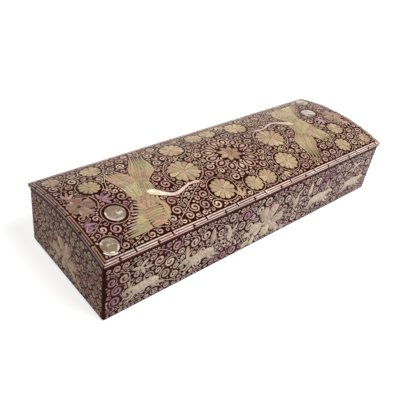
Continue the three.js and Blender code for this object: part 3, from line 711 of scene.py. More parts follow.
# Painted shade: the slips toward the left end are darkened by their place along the box, as that end lies in
# less light
along_box = add_node(nacre, "ShaderNodeSeparateXYZ", _0=place).outputs["X"]
left_shade_mask = stretch_range(nacre, along_box, -0.118, -0.066, 1.0, 0.0)
dulled = maths(nacre, "MULTIPLY_ADD", left_shade_mask, maths(nacre, "MULTIPLY", given["Shade"], -1.0), 1.0)
slip_tint_and_shade = maths(nacre, "MULTIPLY", stretch_range(nacre, own, 0.0, 1.0, 0.82, 1.1), dulled)
for brightness in (stretch_range(nacre, growth, 0.1, 0.9, 0.86, 1.06), glitter, slip_tint_and_shade):
    grey = add_node(nacre, "ShaderNodeCombineColor", _0=brightness, _1=brightness, _2=brightness).outputs[0]
    colour = blend_colours(nacre, 1.0, colour, grey, "MULTIPLY")
nacre.links.new(colour, result["Colour"])
nacre.links.new(stretch_range(nacre, cloud(nacre, 500, 2.0, scattered), 0.3, 0.7, 0.16, 0.34),
                result["Roughness"])
nacre.links.new(maths(nacre, "MULTIPLY_ADD", growth, 0.3, cloud(nacre, 420, 2.0, scattered)), result["Height"])

SHELL_POLISH = {"Specular_IOR_Level": 0.1, "Coat_Weight": 1.0, "Coat_Roughness": 0.06, "Coat_IOR": 1.25}
FINE_RIPPLE = (0.12, 0.0006)
WAVY_RIPPLE = (0.2, 0.0006)
PLAIN_VIOLET = (150, 110, 150)
# How far the painted shade darkens the shell toward the left end of the box
LEFT_SHADE = 0.26


def shell_finish(name, slot, cream, rose, green, violet, shares, ripple=FINE_RIPPLE, polish=SHELL_POLISH):
    """A finish of mother-of-pearl and its slot. Shares: of green, of violet and of painted shade to the left.
    """
    values = {"Cream": paint(*cream), "Rose": paint(*rose), "Green": paint(*green), "Violet": paint(*violet),
              "Greenness": shares[0], "Violetness": shares[1], "Shade": shares[2]}
    return finish_material(name, nacre, values, ripple, polish, ("tone", "Tone")), slot


edge_start_y = math.asin((lid_y - LID_EDGE_ROUNDING) / (lid_radius - LID_EDGE_ROUNDING))


def on_lid(x, s, lift):
    """From along and across the lid to its place on the arch. Past an edge it turns down over the rim."""
    rounding = LID_EDGE_ROUNDING
    angle = min(abs(s) / lid_radius, edge_start_y)
    past = abs(s) - edge_start_y * lid_radius
    rise_y, rise_z = math.sin(angle), math.cos(angle)
    past_x = abs(x) - (lid_x - rounding)
    turn_x = min(max(past_x, 0) / rounding, math.pi / 2)
    drop_x = max(0, past_x - rounding * math.pi / 2)
    out_x = min(abs(x), lid_x - rounding) + (rounding + lift) * math.sin(turn_x)
    lift = (rounding + lift) * math.cos(turn_x) - rounding - drop_x if past_x > 0 else lift
    if past <= 0:
        y, z = (lid_radius + lift) * rise_y, arch_centre + (lid_radius + lift) * rise_z
    else:
        turn = min(past / rounding, math.pi / 2 - angle)
        drop = max(0, past - rounding * (math.pi / 2 - angle))
        y = (lid_radius - rounding) * rise_y + (rounding + lift) * math.sin(angle + turn)
        z = arch_centre + (lid_radius - rounding) * rise_z + (rounding + lift) * math.cos(angle + turn) - drop
    return (math.copysign(out_x, x), math.copysign(y, s), z)


SHELL_CREASE = 50


def lay_shell(name, sheet, surface, body, finish, *nodes):
    """Lays a sheet's slips on a surface of the box as one piece."""
    points = [surface(*point) for point in sheet.points]
    piece = make_piece(name, points, sheet.faces, {"tone": sheet.tones}, SHELL_CREASE)
    material, slot = finish
    piece.data.materials.append(material)
    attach(piece, body)
    if nodes:
        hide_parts(*nodes)


# ---- The fretwork round the lid ----
# Three strands of bright pink shell run side by side along each edge of the lid and turn into each other in a
# square meander.
# On the left edge the strands are darker shell, as painted shade of that end. The outermost strand is bent over
# the edge.
# The strips meet in mitres at the corners.
STRAND_WIDTH = 1.0
STRAND_PLACES = (2.1, 0.65, -0.8)
MEANDER_PERIOD = 24.0
UPPER_TURN = 19.8
LOWER_TURN = 9.6
TURN_GAP = 0.55


def meander(length, top, middle, bottom):
    """The meander's centre line along one edge, as runs of shell between the joints of the strip."""
    runs, at = [], UPPER_TURN - MEANDER_PERIOD
    half = (TURN_GAP + STRAND_WIDTH) / 2
    while at < length + MEANDER_PERIOD:
        lower, upper = at - (UPPER_TURN - LOWER_TURN), at
        next_lower, next_upper = lower + MEANDER_PERIOD, upper + MEANDER_PERIOD
        runs.append([(upper - half, top), (upper - half, middle), (lower + half, middle),
                     (lower + half, bottom), (next_lower - half, bottom), (next_lower - half, middle),
                     (upper + half, middle), (upper + half, top), (next_upper - half, top)])
        at += MEANDER_PERIOD
    return runs


def clipped(run, low, high):
    """The parts of a square-cornered run that lie between two mitres, which move with the strand's place."""
    pieces, current = [], []
    for (x0, y0), (x1, y1) in zip(run, run[1:]):
        start, end = sorted((x0, x1))
        a, b = max(start, low(y0)), min(end, high(y0))
        if x0 == x1:
            inside = low(y0) <= x0 <= high(y0)
            if inside and current:
                current.append((x1, y1))
            continue
        if a >= b:
            if len(current) > 1:
                pieces.append(current)
            current = []
            continue
        first, second = (a, b) if x0 < x1 else (b, a)
        if not current or abs(current[-1][0] - first) > 1e-6 or abs(current[-1][1] - y0) > 1e-6:
            if len(current) > 1:
                pieces.append(current)
            current = [(first, y0)]
        current.append((second, y0))
        if second != x1:
            pieces.append(current)
            current = []
    if len(current) > 1:
        pieces.append(current)
    return pieces


def sawn_short(path, longest):
    """The same path with points added so that it can follow the arch."""
    result = [path[0]]
    for (x0, y0), (x1, y1) in zip(path, path[1:]):
        parts = max(1, math.ceil(math.hypot(x1 - x0, y1 - y0) / longest))
        result += [(x0 + (x1 - x0) * k / parts, y0 + (y1 - y0) * k / parts) for k in range(1, parts + 1)]
    return result


lid_reach_x = lid_x - LID_EDGE_ROUNDING + LID_EDGE_ROUNDING * math.pi / 4
lid_reach_s = edge_start_y * lid_radius + LID_EDGE_ROUNDING * (math.pi / 2 - edge_start_y) / 2
tea_shell = shell_finish(
    "tea_shell", "gold_shell", (192, 158, 134), (174, 134, 118), (170, 158, 126), (166, 128, 142),
    (0.28, 0.36, LEFT_SHADE), WAVY_RIPPLE)
bright_shell = shell_finish(
    "bright_shell", "pink_shell", (250, 226, 212), (234, 192, 182), (222, 210, 182), PLAIN_VIOLET,
    (0.25, 0.35, LEFT_SHADE))
INNER_MITRE = 0.1
MITRE_GAP = 0.1
LONGEST_CUT = 3.5
# How far each strip reaches to its corners, how far out it lies, and how it is turned
FRET_SIDES = {
    "front": (lid_reach_x, lid_reach_s, lambda u, v: (u, v)),
    "back": (lid_reach_x, lid_reach_s, lambda u, v: (-u, -v)),
    "left": (lid_reach_s, lid_reach_x, lambda u, v: (v, -u)),
    "right": (lid_reach_s, lid_reach_x, lambda u, v: (-v, u)),
}
for side, (along, edge, turned) in FRET_SIDES.items():
    strip = ShellSheet("fret " + side)

    def mitre_low(row):
        return max(row, INNER_MITRE) + MITRE_GAP

    def mitre_high(row):
        return 2 * along - max(row, INNER_MITRE) - MITRE_GAP

    for run in meander(2 * along, *STRAND_PLACES):
        for part in clipped(run, mitre_low, mitre_high):
            cut = sawn_short(part, LONGEST_CUT)
            if len(cut) > 1:
                placed = [turned(u - along, row - edge) for u, row in cut]
                strip.slip(placed, [STRAND_WIDTH] * len(placed), 0.25)
    # The left strip takes the darker tea shell as painted shade of the dim left end
    lay_shell(side + "_fretwork", strip, on_lid, "lid", tea_shell if side == "left" else bright_shell,
              side + "_fret")

# ---- The flowers on the lid ----
# Chrysanthemums of several sizes, their petals cut one by one and set round a button, each in a thin ring of
# shell. The pattern is turned half round about the middle of the lid, so every flower has its twin.
# Each flower's middle, radius and number of petals
CHRYSANTHEMUMS = {
    "great": (-39.7, -0.6, 10.3, 13),
    "front": (-28.8, -24.9, 8.1, 12),
    "back": (-30.4, 23.5, 8, 12),
    "small_front": (-6.2, -29.9, 6, 11),
    "small_back": (-6.8, 29.2, 6.1, 11),
    "end": (-96.8, 13.1, 6.3, 11),
    "corner": (-86.6, 29.4, 6.2, 10),
    "far_corner": (-111.2, 31.0, 5.0, 9),
}
HALVES = (("left", 1), ("right", -1))


def chrysanthemum(sheet, x, y, radius, petals, turn):
    """Round-tipped wedges in a ring, close together, with a small ring of buds round the button."""
    for k in range(petals):
        angle = 2 * math.pi * (k + sheet.chance.uniform(-0.04, 0.04)) / petals + 0.3
        reach = radius * sheet.chance.uniform(0.97, 1.04)
        path, widths = [], []
        for t in (0.12, 0.3, 0.46, 0.6, 0.72, 0.8, 0.86, 0.92, 0.97, 1.0):
            bend = angle + 0.06 * math.sin(t * 3)
            path.append(swung(x, y, reach * t, bend, turn))
            wedge = 2 * math.pi * reach * t / petals + (0.14 if t < 0.5 else -0.05)
            widths.append(max(0.12, wedge * math.sqrt(max(0, 1 - (max(0, t - 0.8) / 0.205) ** 2))))
        sheet.slip(path, widths)
        sheet.slip(path[1:6], [0.3 * w for w in widths[1:5]] + [0.2], None, 0.02)
    for k in range(6):
        sheet.disc(*swung(x, y, radius * 0.13, 2 * math.pi * k / 6, turn), radius * 0.06)
    sheet.disc(turn * x, turn * y, radius * 0.065)


def hoop_points(x, y, radius, start, sweep, steps):
    """Points along a hoop, or along part of one, from its start in degrees."""
    return [swung(x, y, radius, math.radians(start + sweep * k / steps)) for k in range(steps + 1)]


def ring(sheet, x, y, radius, width, start, sweep, tone):
    """A thin hoop of shell, or part of one."""
    path = hoop_points(x, y, radius, start, sweep, max(6, int(abs(sweep) * radius / 60)))
    sheet.slip(path, [width] * len(path), tone)


gold_shell = shell_finish(
    "gold_shell", "gold_shell", (222, 194, 154), (202, 162, 136), (188, 182, 130), PLAIN_VIOLET,
    (0.41, 0.2, LEFT_SHADE), WAVY_RIPPLE)
for half, turn in HALVES:
    for name, (x, y, radius, petals) in CHRYSANTHEMUMS.items():
        flower = ShellSheet(f"{half} {name}")
        chrysanthemum(flower, x, y, radius, petals, turn)
        modelled = [] if name == "far_corner" else [f"{half}_{name}_chrysanthemum"]
        lay_shell(f"{half}_{name}_flower", flower, on_lid, "lid", gold_shell, *modelled)

# ---- The plum blossoms ----
# Five broad round petals of brownish shell round a small scroll, one blossom at each end of the lid. The petals
# are sawn to one pattern and filed down to fit each other.
PLUM_HEART = (-111.0, 0.4)
# Each petal's heading in degrees, reach and width
PLUM_PETALS = ((0, 9.4, 8.4), (76, 8.6, 7.6), (146, 6.4, 6.0), (212, 6.4, 6.0), (284, 8.6, 7.6))


def plum_blossom(sheet, turn):
    """Petals cut as round lobes, each with its own reach and width, and a scroll in the middle."""
    x, y = PLUM_HEART
    for heading, reach, width in PLUM_PETALS:
        angle = math.radians(heading)
        path = [swung(x, y, reach * t, angle, turn)
                for t in (0.16, 0.28, 0.42, 0.56, 0.7, 0.8, 0.89, 0.96, 1.0)]
        sheet.slip(path, petal_widths(width, 0.3, 0.55, len(path)), 0.6)
    scroll = [swung(x, y, 0.5 + 0.22 * k, k * 0.9, turn) for k in range(11)]
    sheet.slip(scroll, [0.9] * len(scroll), 0.1, 0.06)


for half, turn in HALVES:
    blossom = ShellSheet(half + " plum")
    plum_blossom(blossom, turn)
    lay_shell(half + "_blossom", blossom, on_lid, "lid", tea_shell, half + "_plum_blossom")

# ---- The domed discs ----
# Four discs ground from thick shell and polished to a low dome, so that each holds a bright highlight. They are
# let into the lacquer near the ends of the lid.
DOMES = {"end": (-96.7, -13.2, 5.9), "corner": (-111.3, -31.1, 5.1)}
DOME_RISE = 0.8
DOME_FOOT = -0.05
DOME_RINGS = 9
DOME_SIDES = 40
dome_shell = shell_finish(
    "dome_shell", "gold_shell", (255, 248, 232), (160, 132, 104), (204, 198, 162), PLAIN_VIOLET,
    (0.38, 0.3, 0.0), (0.5, 0.0016), {"Coat_Weight": 1.0, "Coat_Roughness": 0.02, "Coat_IOR": 1.55})

for half, turn in HALVES:
    for name, (x, y, radius) in DOMES.items():
        dome = ShellSheet(f"{half} {name} dome")
        patches = {}
        for k in range(DOME_RINGS):
            share = 1 - (k / (DOME_RINGS - 1)) ** 1.2
            for j in range(DOME_SIDES):
                rim = swung(turn * x, turn * y, max(0.05, radius * share), 2 * math.pi * j / DOME_SIDES)
                rise = DOME_RISE * (1 - 0.8 * share ** 2 - 0.2 * share ** 12) if k else DOME_FOOT
                dome.points.append((*rim, rise))
        for k in range(DOME_RINGS - 1):
            for j in range(DOME_SIDES):
                a, b = k * DOME_SIDES + j, k * DOME_SIDES + (j + 1) % DOME_SIDES
                dome.faces.append((a, b, b + DOME_SIDES, a + DOME_SIDES))
        dome.faces.append(tuple(range(DOME_SIDES))[::-1])
        # The shell changes colour from patch to patch
        for k in range(DOME_RINGS):
            for j in range(DOME_SIDES):
                patch = (k // 2, (j + 3 * k) // (5 + k // 3))
                tone = 0.0 if dome.chance.random() < 0.3 else dome.chance.uniform(0.5, 1.0)
                dome.tones.append(patches.setdefault(patch, tone))
        lay_shell(f"{half}_{name}_disc", dome, on_lid, "lid", dome_shell, f"{half}_{name}_dome")

# ---- The rosette ----
# Eight pointed petals of shell, gold on one side and pink on the other, laid round a button in the middle of
# the lid. A ring of small looped petals runs round it.
ROSETTE_RADIUS = 8.6
brown_shell = shell_finish(
    "brown_shell", "gold_shell", (210, 174, 142), (190, 148, 122), (184, 172, 130), (176, 136, 150),
    (0.28, 0.36, LEFT_SHADE), WAVY_RIPPLE)
rosette = ShellSheet("rosette")
for k in range(8):
    angle = math.radians(45 * k + 10)
    path = [swung(0, 0, ROSETTE_RADIUS * t, angle) for t in (0.16, 0.3, 0.45, 0.6, 0.75, 0.88, 1.0)]
    rosette.slip(path, [1.0, 2.0, 3.3, 4.2, 3.6, 2.2, 0.3], 0.4 if 90 < 45 * k < 260 else 1.0)
rosette.disc(0, 0, 1.1)
lay_shell("rosette", rosette, on_lid, "lid", brown_shell, "centre_rosette")

# ---- The cranes ----
# Two flying cranes cut from greenish gold shell, one the half turn of the other. Every feather is a slip of its
# own: long ones at the wing tips and tail, shorter ones over their roots, and scales on the back.
CRANE_PLACE = (-75.8, -8.1)
# Each fan of feathers lies between two edges, drawn from the bird's back out to the tips
CRANE_WING = (
    [(9.8, 0.1), (11.0, 5.4), (11.9, 9.5), (16.9, 13.7), (21.9, 17.9), (23.5, 24.5), (23.9, 32.0),
     (27.8, 41.1)],
    [(-1.2, 2.1), (2.3, 8.4), (4.4, 14.0), (5.3, 19.6), (7.3, 25.1), (11.3, 30.1), (14.8, 36.1),
     (17.8, 42.1)],
)
CRANE_FAR_WING = (
    [(0.8, 0.1), (2.6, 7.1), (4.6, 13.6), (5.1, 19.1), (2.6, 24.4), (0.6, 29.6)],
    [(-6.2, 0.1), (-6.4, 6.1), (-6.9, 11.2), (-7.9, 17.1), (-9.0, 24.0), (-8.4, 31.2)],
)
CRANE_TAIL_ROOTS = [(-4.2, -5.4), (-6.2, -11.4), (-7.8, -15.4), (-8.6, -18.8), (-8.8, -22.6)]
CRANE_TAIL_TIPS = [(-8.4, -1.6), (-13.8, -7.4), (-19.2, -14.6), (-25.2, -20.2), (-26.8, -24.3)]


def place_along(points, t):
    """The place at the share t of a drawn line."""
    at = min(max(t, 0), 1) * (len(points) - 1)
    low = min(int(at), len(points) - 2)
    (ax, ay), (bx, by) = points[low:low + 2]
    return (ax + (bx - ax) * (at - low), ay + (by - ay) * (at - low))


def feather_row(sheet, place, edges, feathers, low, high, ragged, tones, raised, widest=0.72):
    """A row of feathers side by side between two edges, from low to high along them."""
    first, last = along_curve(edges[0], 25), along_curve(edges[1], 25)
    steps = 10
    for k in range(feathers):
        share = (k + 0.5) / feathers
        top = high - ragged * (k % 2) * 0.6
        path, spread = [], []
        for step in range(steps):
            t = low + (top - low) * step / (steps - 1)
            a, b = place_along(first, t), place_along(last, t)
            path.append(place((a[0] + (b[0] - a[0]) * share, a[1] + (b[1] - a[1]) * share)))
            spread.append(math.hypot(b[0] - a[0], b[1] - a[1]) / feathers * 1.01)
        shape = petal_widths(1.0, 0.8, widest, steps)
        tone = tones[0] + (tones[1] - tones[0]) * share
        sheet.slip(path, [max(0.14, w * s) for w, s in zip(spread, shape)], tone, raised)


def crane(sheet, accents, pearl, place):
    """The whole bird, drawn about the middle of its back and laid by a rule that places each point."""
    for edges, feathers in ((CRANE_WING, 8), (CRANE_FAR_WING, 6)):
        feather_row(sheet, place, edges, feathers, 0.5, 1.0, 0.16, (0.3, 0.6), 0.0, 0.4)
        feather_row(sheet, place, edges, feathers + 2, 0.3, 0.64, 0.05, (0.75, 0.9), 0.03)
        feather_row(sheet, place, edges, feathers + 1, 0.0, 0.38, 0.03, (0.2, 0.1), 0.06)
    roots, tips = along_curve(CRANE_TAIL_ROOTS, 25), along_curve(CRANE_TAIL_TIPS, 25)
    feathers = 13
    for k in range(feathers):
        share = k / (feathers - 1)
        root, tip = place_along(roots, share), place_along(tips, share)
        reach = 1.0 if k % 2 else 0.84

        def along_feather(t):
            return place((root[0] + (tip[0] - root[0]) * t * reach, root[1] + (tip[1] - root[1]) * t * reach))

        sheet.slip([along_feather(t) for t in (0, 0.2, 0.4, 0.6, 0.76, 0.9, 1.0)],
                   [1.9, 1.8, 1.6, 1.4, 1.1, 0.7, 0.15], 0.5 - 0.4 * share)
        if k < 10:
            accents.slip([along_feather(t) for t in (0.6, 0.7, 0.8, 0.9, 1.04)],
                         [0.5, 1.1, 1.2, 0.8, 0.15], 1.0, 0.02)
        if k % 2:
            sheet.slip([along_feather(t) for t in (-0.02, 0.14, 0.3, 0.44, 0.52)],
                       [2.2, 3.0, 3.0, 2.0, 0.3], 0.2, 0.03)
    # Scales down the back
    for row in range(7):
        for k in range(4):
            x = -6.2 + 3.1 * k + (1.5 if row % 2 else 0) + 0.3 * row
            y = 3.4 - 2.0 * row
            if x < 7.4:
                scale = [(x - 0.1, y + 1.5), (x, y + 0.7), (x, y - 0.3), (x, y - 1.2)]
                sheet.slip([place(p) for p in scale], [1.6, 3.1, 2.9, 0.9], 0.85, 0.05 - 0.004 * row)
    # The round of the body, striped across, with a band of longer feathers round its front
    for k in range(7):
        y = -10.2 - 1.75 * k
        left, right = -8.8 + 0.25 * abs(k - 3), 5.2 - 0.2 * (k - 2) ** 2
        middle = (left + right) / 2
        sheet.slip(along_curve([place((left, y - 0.4)), place((middle, y + 0.3)), place((right, y))], 8),
                   [0.9, 1.6, 1.75, 1.8, 1.8, 1.75, 1.6, 0.9], 0.6, 0.02)
    band = [(2.4, -5.6), (5.9, -8.6), (7.0, -12.6), (5.8, -16.8), (2.4, -20.2), (-3.0, -22.4), (-7.6, -22.4)]
    sheet.slip([place(p) for p in along_curve(band, 18)],
               [1.0 + 2.6 * math.sin(math.pi * k / 17) ** 0.7 for k in range(18)], 0.75, 0.04)
    # The pale patch at the root of the neck, whose whiteness is partly a painted highlight, the neck, the head
    # and the bill
    pearl.slip([place(p) for p in along_curve([(4.8, 1.6), (7.6, -0.6), (11.0, -3.6), (14.8, -6.8)], 9)],
               [2.0, 3.6, 4.6, 5.0, 4.8, 4.2, 3.6, 3.0, 2.4], 0.3, 0.07)
    neck = [(14.0, -6.2), (17.2, -7.6), (20.8, -7.6), (25.8, -6.0), (30.8, -4.5), (35.6, -4.8), (38.4, -5.4)]
    neck_widths = [3.0, 3.0, 2.9, 2.8, 2.7, 2.6, 2.5, 2.4, 2.3, 2.1, 2.0, 1.9, 1.8, 1.8, 2.0, 2.4, 2.6, 2.4,
                   1.9, 1.2]
    accents.slip([place(p) for p in along_curve(neck, len(neck_widths))], neck_widths, 0.6)
    accents.slip([place(p) for p in ((38.8, -5.5), (40.2, -5.7), (42.0, -6.2))], [1.0, 0.7, 0.15], 0.2)


green_shell = shell_finish(
    "green_shell", "green_shell", (214, 192, 148), (204, 160, 130), (180, 178, 130), PLAIN_VIOLET,
    (0.46, 0.15, LEFT_SHADE), WAVY_RIPPLE)
# White shell for the neck patch and the sliver by the corner disc: partly the shell's own pale colour, partly
# painted highlight
white_and_glint_shell = shell_finish(
    "white_and_glint_shell", "pink_shell", (255, 250, 238), (250, 232, 204), (242, 222, 150), PLAIN_VIOLET,
    (0.4, 0.1, 0.0), WAVY_RIPPLE)
cranes = []
for half, turn in HALVES:
    bird, pale = ShellSheet(half + " crane"), ShellSheet(half + " crane neck")
    pearl = ShellSheet(half + " breast")
    cranes += [bird, pale, pearl]
    crane(bird, pale, pearl, lambda p: (turn * (CRANE_PLACE[0] + p[0]), turn * (CRANE_PLACE[1] + p[1])))
    lay_shell(half + "_crane_feathers", bird, on_lid, "lid", green_shell, half + "_crane")
    lay_shell(half + "_crane_neck", pale, on_lid, "lid", bright_shell)
    # A sliver of the same white shell along the corner disc's rim is a painted highlight of the disc
    x, y, radius = DOMES["corner"]
    ring(pearl, turn * x, turn * y, radius + 0.5, 1.0, 205 + (180 if turn < 0 else 0), 80, 0.0)
    lay_shell(half + "_crane_breast_and_disc_glint", pearl, on_lid, "lid", white_and_glint_shell)

# ---- The vines on the lid ----
# Hair-thin stems of shell run between the flowers, go round each of them as a ring, and give off the curls.
# They are narrow strips, bent to the drawing in the wet lacquer and rubbed level with the rest.
STEM_WIDTH = 0.55
# Each hoop's middle and radius, and its start and sweep in degrees
LID_HOOPS = [
    (-28.8, -24.9, 9.9, 0, 360), (-30.4, 23.5, 9.6, 0, 360), (-6.2, -29.9, 7.5, 130, 300),
    (-6.8, 29.2, 7.5, 0, 360), (-96.8, 13.1, 7.8, -60, 250), (-96.7, -13.2, 7.7, 0, 360),
    (-111.3, -31.1, 6.5, 0, 130), (-86.6, 29.4, 7.6, 90, 270), (-39.7, -0.6, 12.3, 95, 100),
    (-39.7, -0.6, 12.3, 280, 80), (-109.2, 0.3, 9.3, -60, 130),
]
LID_VINES = [
    [(-100.6, -36.2), (-95, -34.4), (-90.6, -32.6), (-84, -31.4), (-78.6, -33.2), (-72, -35.6), (-66.5, -32.8),
     (-60, -28.6), (-52.5, -23.6), (-46.5, -19.4), (-40.5, -16), (-36.6, -12.8), (-31.4, -9), (-27.6, -4.4),
     (-24.8, 0.6), (-24.4, 6.4), (-26.6, 11.8)],
    [(-61, -25), (-58, -21.8), (-55, -18.6), (-50.6, -15.6)],
    [(-116, 6.8), (-113.6, 13.6), (-109.4, 21.4), (-104, 28.6), (-99.4, 36)],
    [(-88.8, 7), (-86.6, 13.2), (-81.8, 21.6), (-77.2, 29.6), (-75.2, 36)],
    [(-52.6, -11.8), (-53.6, -5), (-52.6, 2.2), (-49.4, 7), (-45.2, 11.4), (-41.4, 14.6)],
    [(-64.6, -0.6), (-64.6, -7), (-60.4, -12.0), (-55.2, -13.4)],
    [(-46, 36), (-43.6, 30), (-41.6, 25.6), (-40.6, 20.6)],
    [(-102.4, -5.6), (-100.4, -1.8), (-99.6, 1.8), (-101.2, 6.4)],
    [(-116, -21.6), (-112.4, -19.4), (-108.6, -16.4), (-105, -13.6)],
    [(-18.6, -36), (-16.4, -31), (-16.6, -24.6), (-19.0, -18.4), (-21.8, -13)],
    [(-20.2, 13.4), (-17.2, 18.4), (-16.4, 24), (-18.2, 31), (-21.6, 36)],
]


def stem(sheet, drawn, width=STEM_WIDTH):
    """A thin vine along a drawn line."""
    reach = sum(math.hypot(b[0] - a[0], b[1] - a[1]) for a, b in zip(drawn, drawn[1:]))
    path = along_curve(drawn, max(4, int(reach / 1.6)))
    sheet.slip(path, [width] * len(path), 0.35)
    return path


lid_vines = ShellSheet("lid vines")
lid_stem_paths = []
for turn in (1, -1):
    for x, y, radius, start, sweep in LID_HOOPS:
        ring(lid_vines, turn * x, turn * y, radius, STEM_WIDTH, start + (180 if turn < 0 else 0), sweep, 0.35)
    for drawn in LID_VINES:
        lid_stem_paths.append(stem(lid_vines, [(turn * x, turn * y) for x, y in drawn]))

# Thirteen looped petals round the rosette, each with a pip inside, and small leaves between them
for k in range(13):
    angle = 2 * math.pi * k / 13 + 0.2
    out = (math.cos(angle), math.sin(angle))
    side = (-out[1], out[0])
    loop = []
    for step in range(15):
        swing = math.pi * (step / 14 * 1.84 + 0.08) + math.pi
        loop.append((out[0] * (14.6 + 4.2 * math.cos(swing)) + side[0] * 3.0 * math.sin(swing),
                     out[1] * (14.6 + 4.2 * math.cos(swing)) + side[1] * 3.0 * math.sin(swing)))
    lid_vines.slip(loop, [0.95] * len(loop), 0.6)
    pip = [(out[0] * (11.8 + t), out[1] * (11.8 + t)) for t in (0, 1.0, 2.2, 3.6, 4.9)]
    lid_vines.slip(pip, [0.7, 1.9, 2.9, 2.6, 0.5], 0.7)
    between = angle + math.pi / 13
    for near, size in ((9.6, 0.9), (18.6, 1.0)):
        lid_vines.disc(*swung(0, 0, near, between), size)

pink_shell = shell_finish(
    "pink_shell", "pink_shell", (236, 206, 178), (214, 168, 150), (206, 194, 152), (176, 132, 160),
    (0.3, 0.5, LEFT_SHADE))
lay_shell("lid_vines", lid_vines, on_lid, "lid", pink_shell)

# ---- The curls on the lid ----
# Hundreds of small scrolls fill the ground between the vines. Each starts as a thin tail on its stem, winds
# once round and ends in a round bud. Little leaves and pips fill what is left.
GROUND_SPACING = 0.4


class OpenGround:
    """The ground still free on a panel, kept as the distance from each spot to the nearest shell."""

    def __init__(self, half_x, low_y, high_y):
        xs, ys = np.meshgrid(np.arange(-half_x, half_x + 0.01, GROUND_SPACING),
                             np.arange(low_y, high_y + 0.01, GROUND_SPACING))
        self.x, self.y = xs.ravel(), ys.ravel()
        self.room = np.minimum(half_x - np.abs(self.x), np.minimum(self.y - low_y, high_y - self.y)) + 0.3

    def off_disc(self, x, y, radius):
        """Keeps off a disc."""
        np.minimum(self.room, np.hypot(self.x - x, self.y - y) - radius, out=self.room)

    def off_line(self, path, half_width):
        """Keeps off a line of this half width, square at its ends."""
        for (ax, ay), (bx, by) in zip(path, path[1:]):
            dx, dy = bx - ax, by - ay
            along = ((self.x - ax) * dx + (self.y - ay) * dy) / (dx * dx + dy * dy + 1e-12)
            t = np.clip(along, 0, 1)
            gap = np.hypot(self.x - ax - t * dx, self.y - ay - t * dy) - half_width * (along == t)
            np.minimum(self.room, gap, out=self.room)

    def off_sheet(self, sheet):
        """Keeps off every slip of a sheet that is already laid."""
        for path, widths in sheet.laid:
            for k in range(len(path) - 1):
                self.off_line(path[k:k + 2], (widths[k] + widths[k + 1]) / 4)

    def off_patch(self, outline, half_width):
        """Keeps off the whole inside of an outline."""
        self.off_line(list(outline) + [outline[0]], half_width)
        inside = np.zeros(len(self.x), bool)
        for (ax, ay), (bx, by) in zip(outline, list(outline[1:]) + [outline[0]]):
            crosses = (ay > self.y) != (by > self.y)
            level = (bx - ax) * (self.y - ay) / (by - ay if by != ay else 1e-12) + ax
            inside ^= crosses & (self.x < level)
        self.room[inside] = -1

    def snuggest(self, radius, chance):
        """A free spot for a circle of this radius, as close to its neighbours as it goes."""
        fits = np.flatnonzero(self.room >= radius)
        if not len(fits):
            return None
        spare = self.room[fits]
        close = fits[spare <= spare.min() + 0.12]
        pick = close[chance.randrange(len(close))]
        return float(self.x[pick]), float(self.y[pick])


# A tone above one marks a slip of violet shell
VIOLET_MARK = 1.35


def curl(sheet, x, y, radius, start, hand, weight):
    """A scroll: a tail from its stem, a swelling turn and a round bud at the heart. Big ones wind further."""
    big = min(1, max(0, (radius - 1.6) / 1.6))
    turns = 0.86 + 0.5 * big
    stroke = radius * (0.5 - 0.19 * big) * weight
    steps = 12 + int(8 * big)
    path, widths = [], []
    for k in range(steps):
        t = k / (steps - 1)
        angle = start + hand * 2 * math.pi * turns * t
        reach = (radius * 1.04 - stroke * 0.3) * (1 - 0.74 * t ** 1.1)
        path.append(swung(x, y, reach, angle))
        widths.append(stroke * (0.42 + 0.68 * math.sin(min(1, t * 1.4) * math.pi / 2)))
    tail = (path[0][0] * 2 - path[1][0] + 0.35 * radius * math.cos(start),
            path[0][1] * 2 - path[1][1] + 0.35 * radius * math.sin(start))
    tone = sheet.chance.random()
    if any(math.hypot((x - px) / half_x, (y - py) / half_y) < 1 for px, py, half_x, half_y in sheet.violet):
        tone = VIOLET_MARK + 0.3 * tone
    sheet.slip([tail] + path, [stroke * 0.3] + widths, tone)
    sheet.disc(path[-1][0], path[-1][1], stroke * (0.68 + 0.14 * big), tone)


def leaflet(sheet, x, y, radius, angle):
    """A small pointed leaf that fills a gap."""
    dx, dy = math.cos(angle) * radius, math.sin(angle) * radius
    path = [(x + dx * t - dy * 0.15 * (1 - t * t), y + dy * t + dx * 0.15 * (1 - t * t))
            for t in (-1, -0.6, -0.1, 0.4, 0.8, 1)]
    sheet.slip(path, [max(0.15, radius * w) for w in (0.4, 1.3, 1.6, 1.3, 0.6, 0.1)])


SMALLEST_CURL = 0.95
SMALLEST_LEAF = 0.55
STEM_REACH = 2.5
CURL_GAP = 0.02


def fill_with_curls(sheet, ground, sizes, stems, twins, weight=1.0):
    """Fills the open ground from the largest curls to the smallest leaves, each laid with its twins."""
    placed = []
    for radius in sizes:
        while True:
            spot = ground.snuggest(radius + CURL_GAP, sheet.chance)
            if spot is None:
                break
            placed.append((*spot, radius))
            for twin in twins:
                x, y = twin(spot)
                ground.off_disc(x, y, radius + CURL_GAP)
    anchors = np.array([p for path in stems for p in path] or [(0, 0)])
    for x, y, radius in placed:
        away = np.hypot(anchors[:, 0] - x, anchors[:, 1] - y)
        nearest = anchors[int(away.argmin())]
        start = math.atan2(nearest[1] - y, nearest[0] - x)
        if away.min() > radius + STEM_REACH:
            start = math.atan2(-y, -0.2 * x) + sheet.chance.uniform(-0.9, 0.9)
        hand = sheet.chance.choice((-1, 1))
        for twin in twins:
            mx, my = twin((x, y))
            ox, oy = twin(swung(x, y, 1, start))
            angle = math.atan2(oy - my, ox - mx)
            flipped = twin((1, 0))[0] * twin((0, 1))[1] < 0
            if radius > SMALLEST_CURL:
                curl(sheet, mx, my, radius, angle, -hand if flipped else hand, weight)
            elif radius > SMALLEST_LEAF:
                leaflet(sheet, mx, my, radius, angle + 1.2)
            else:
                sheet.disc(mx, my, radius)


def same(point):
    return point


def half_turn(point):
    return (-point[0], -point[1])


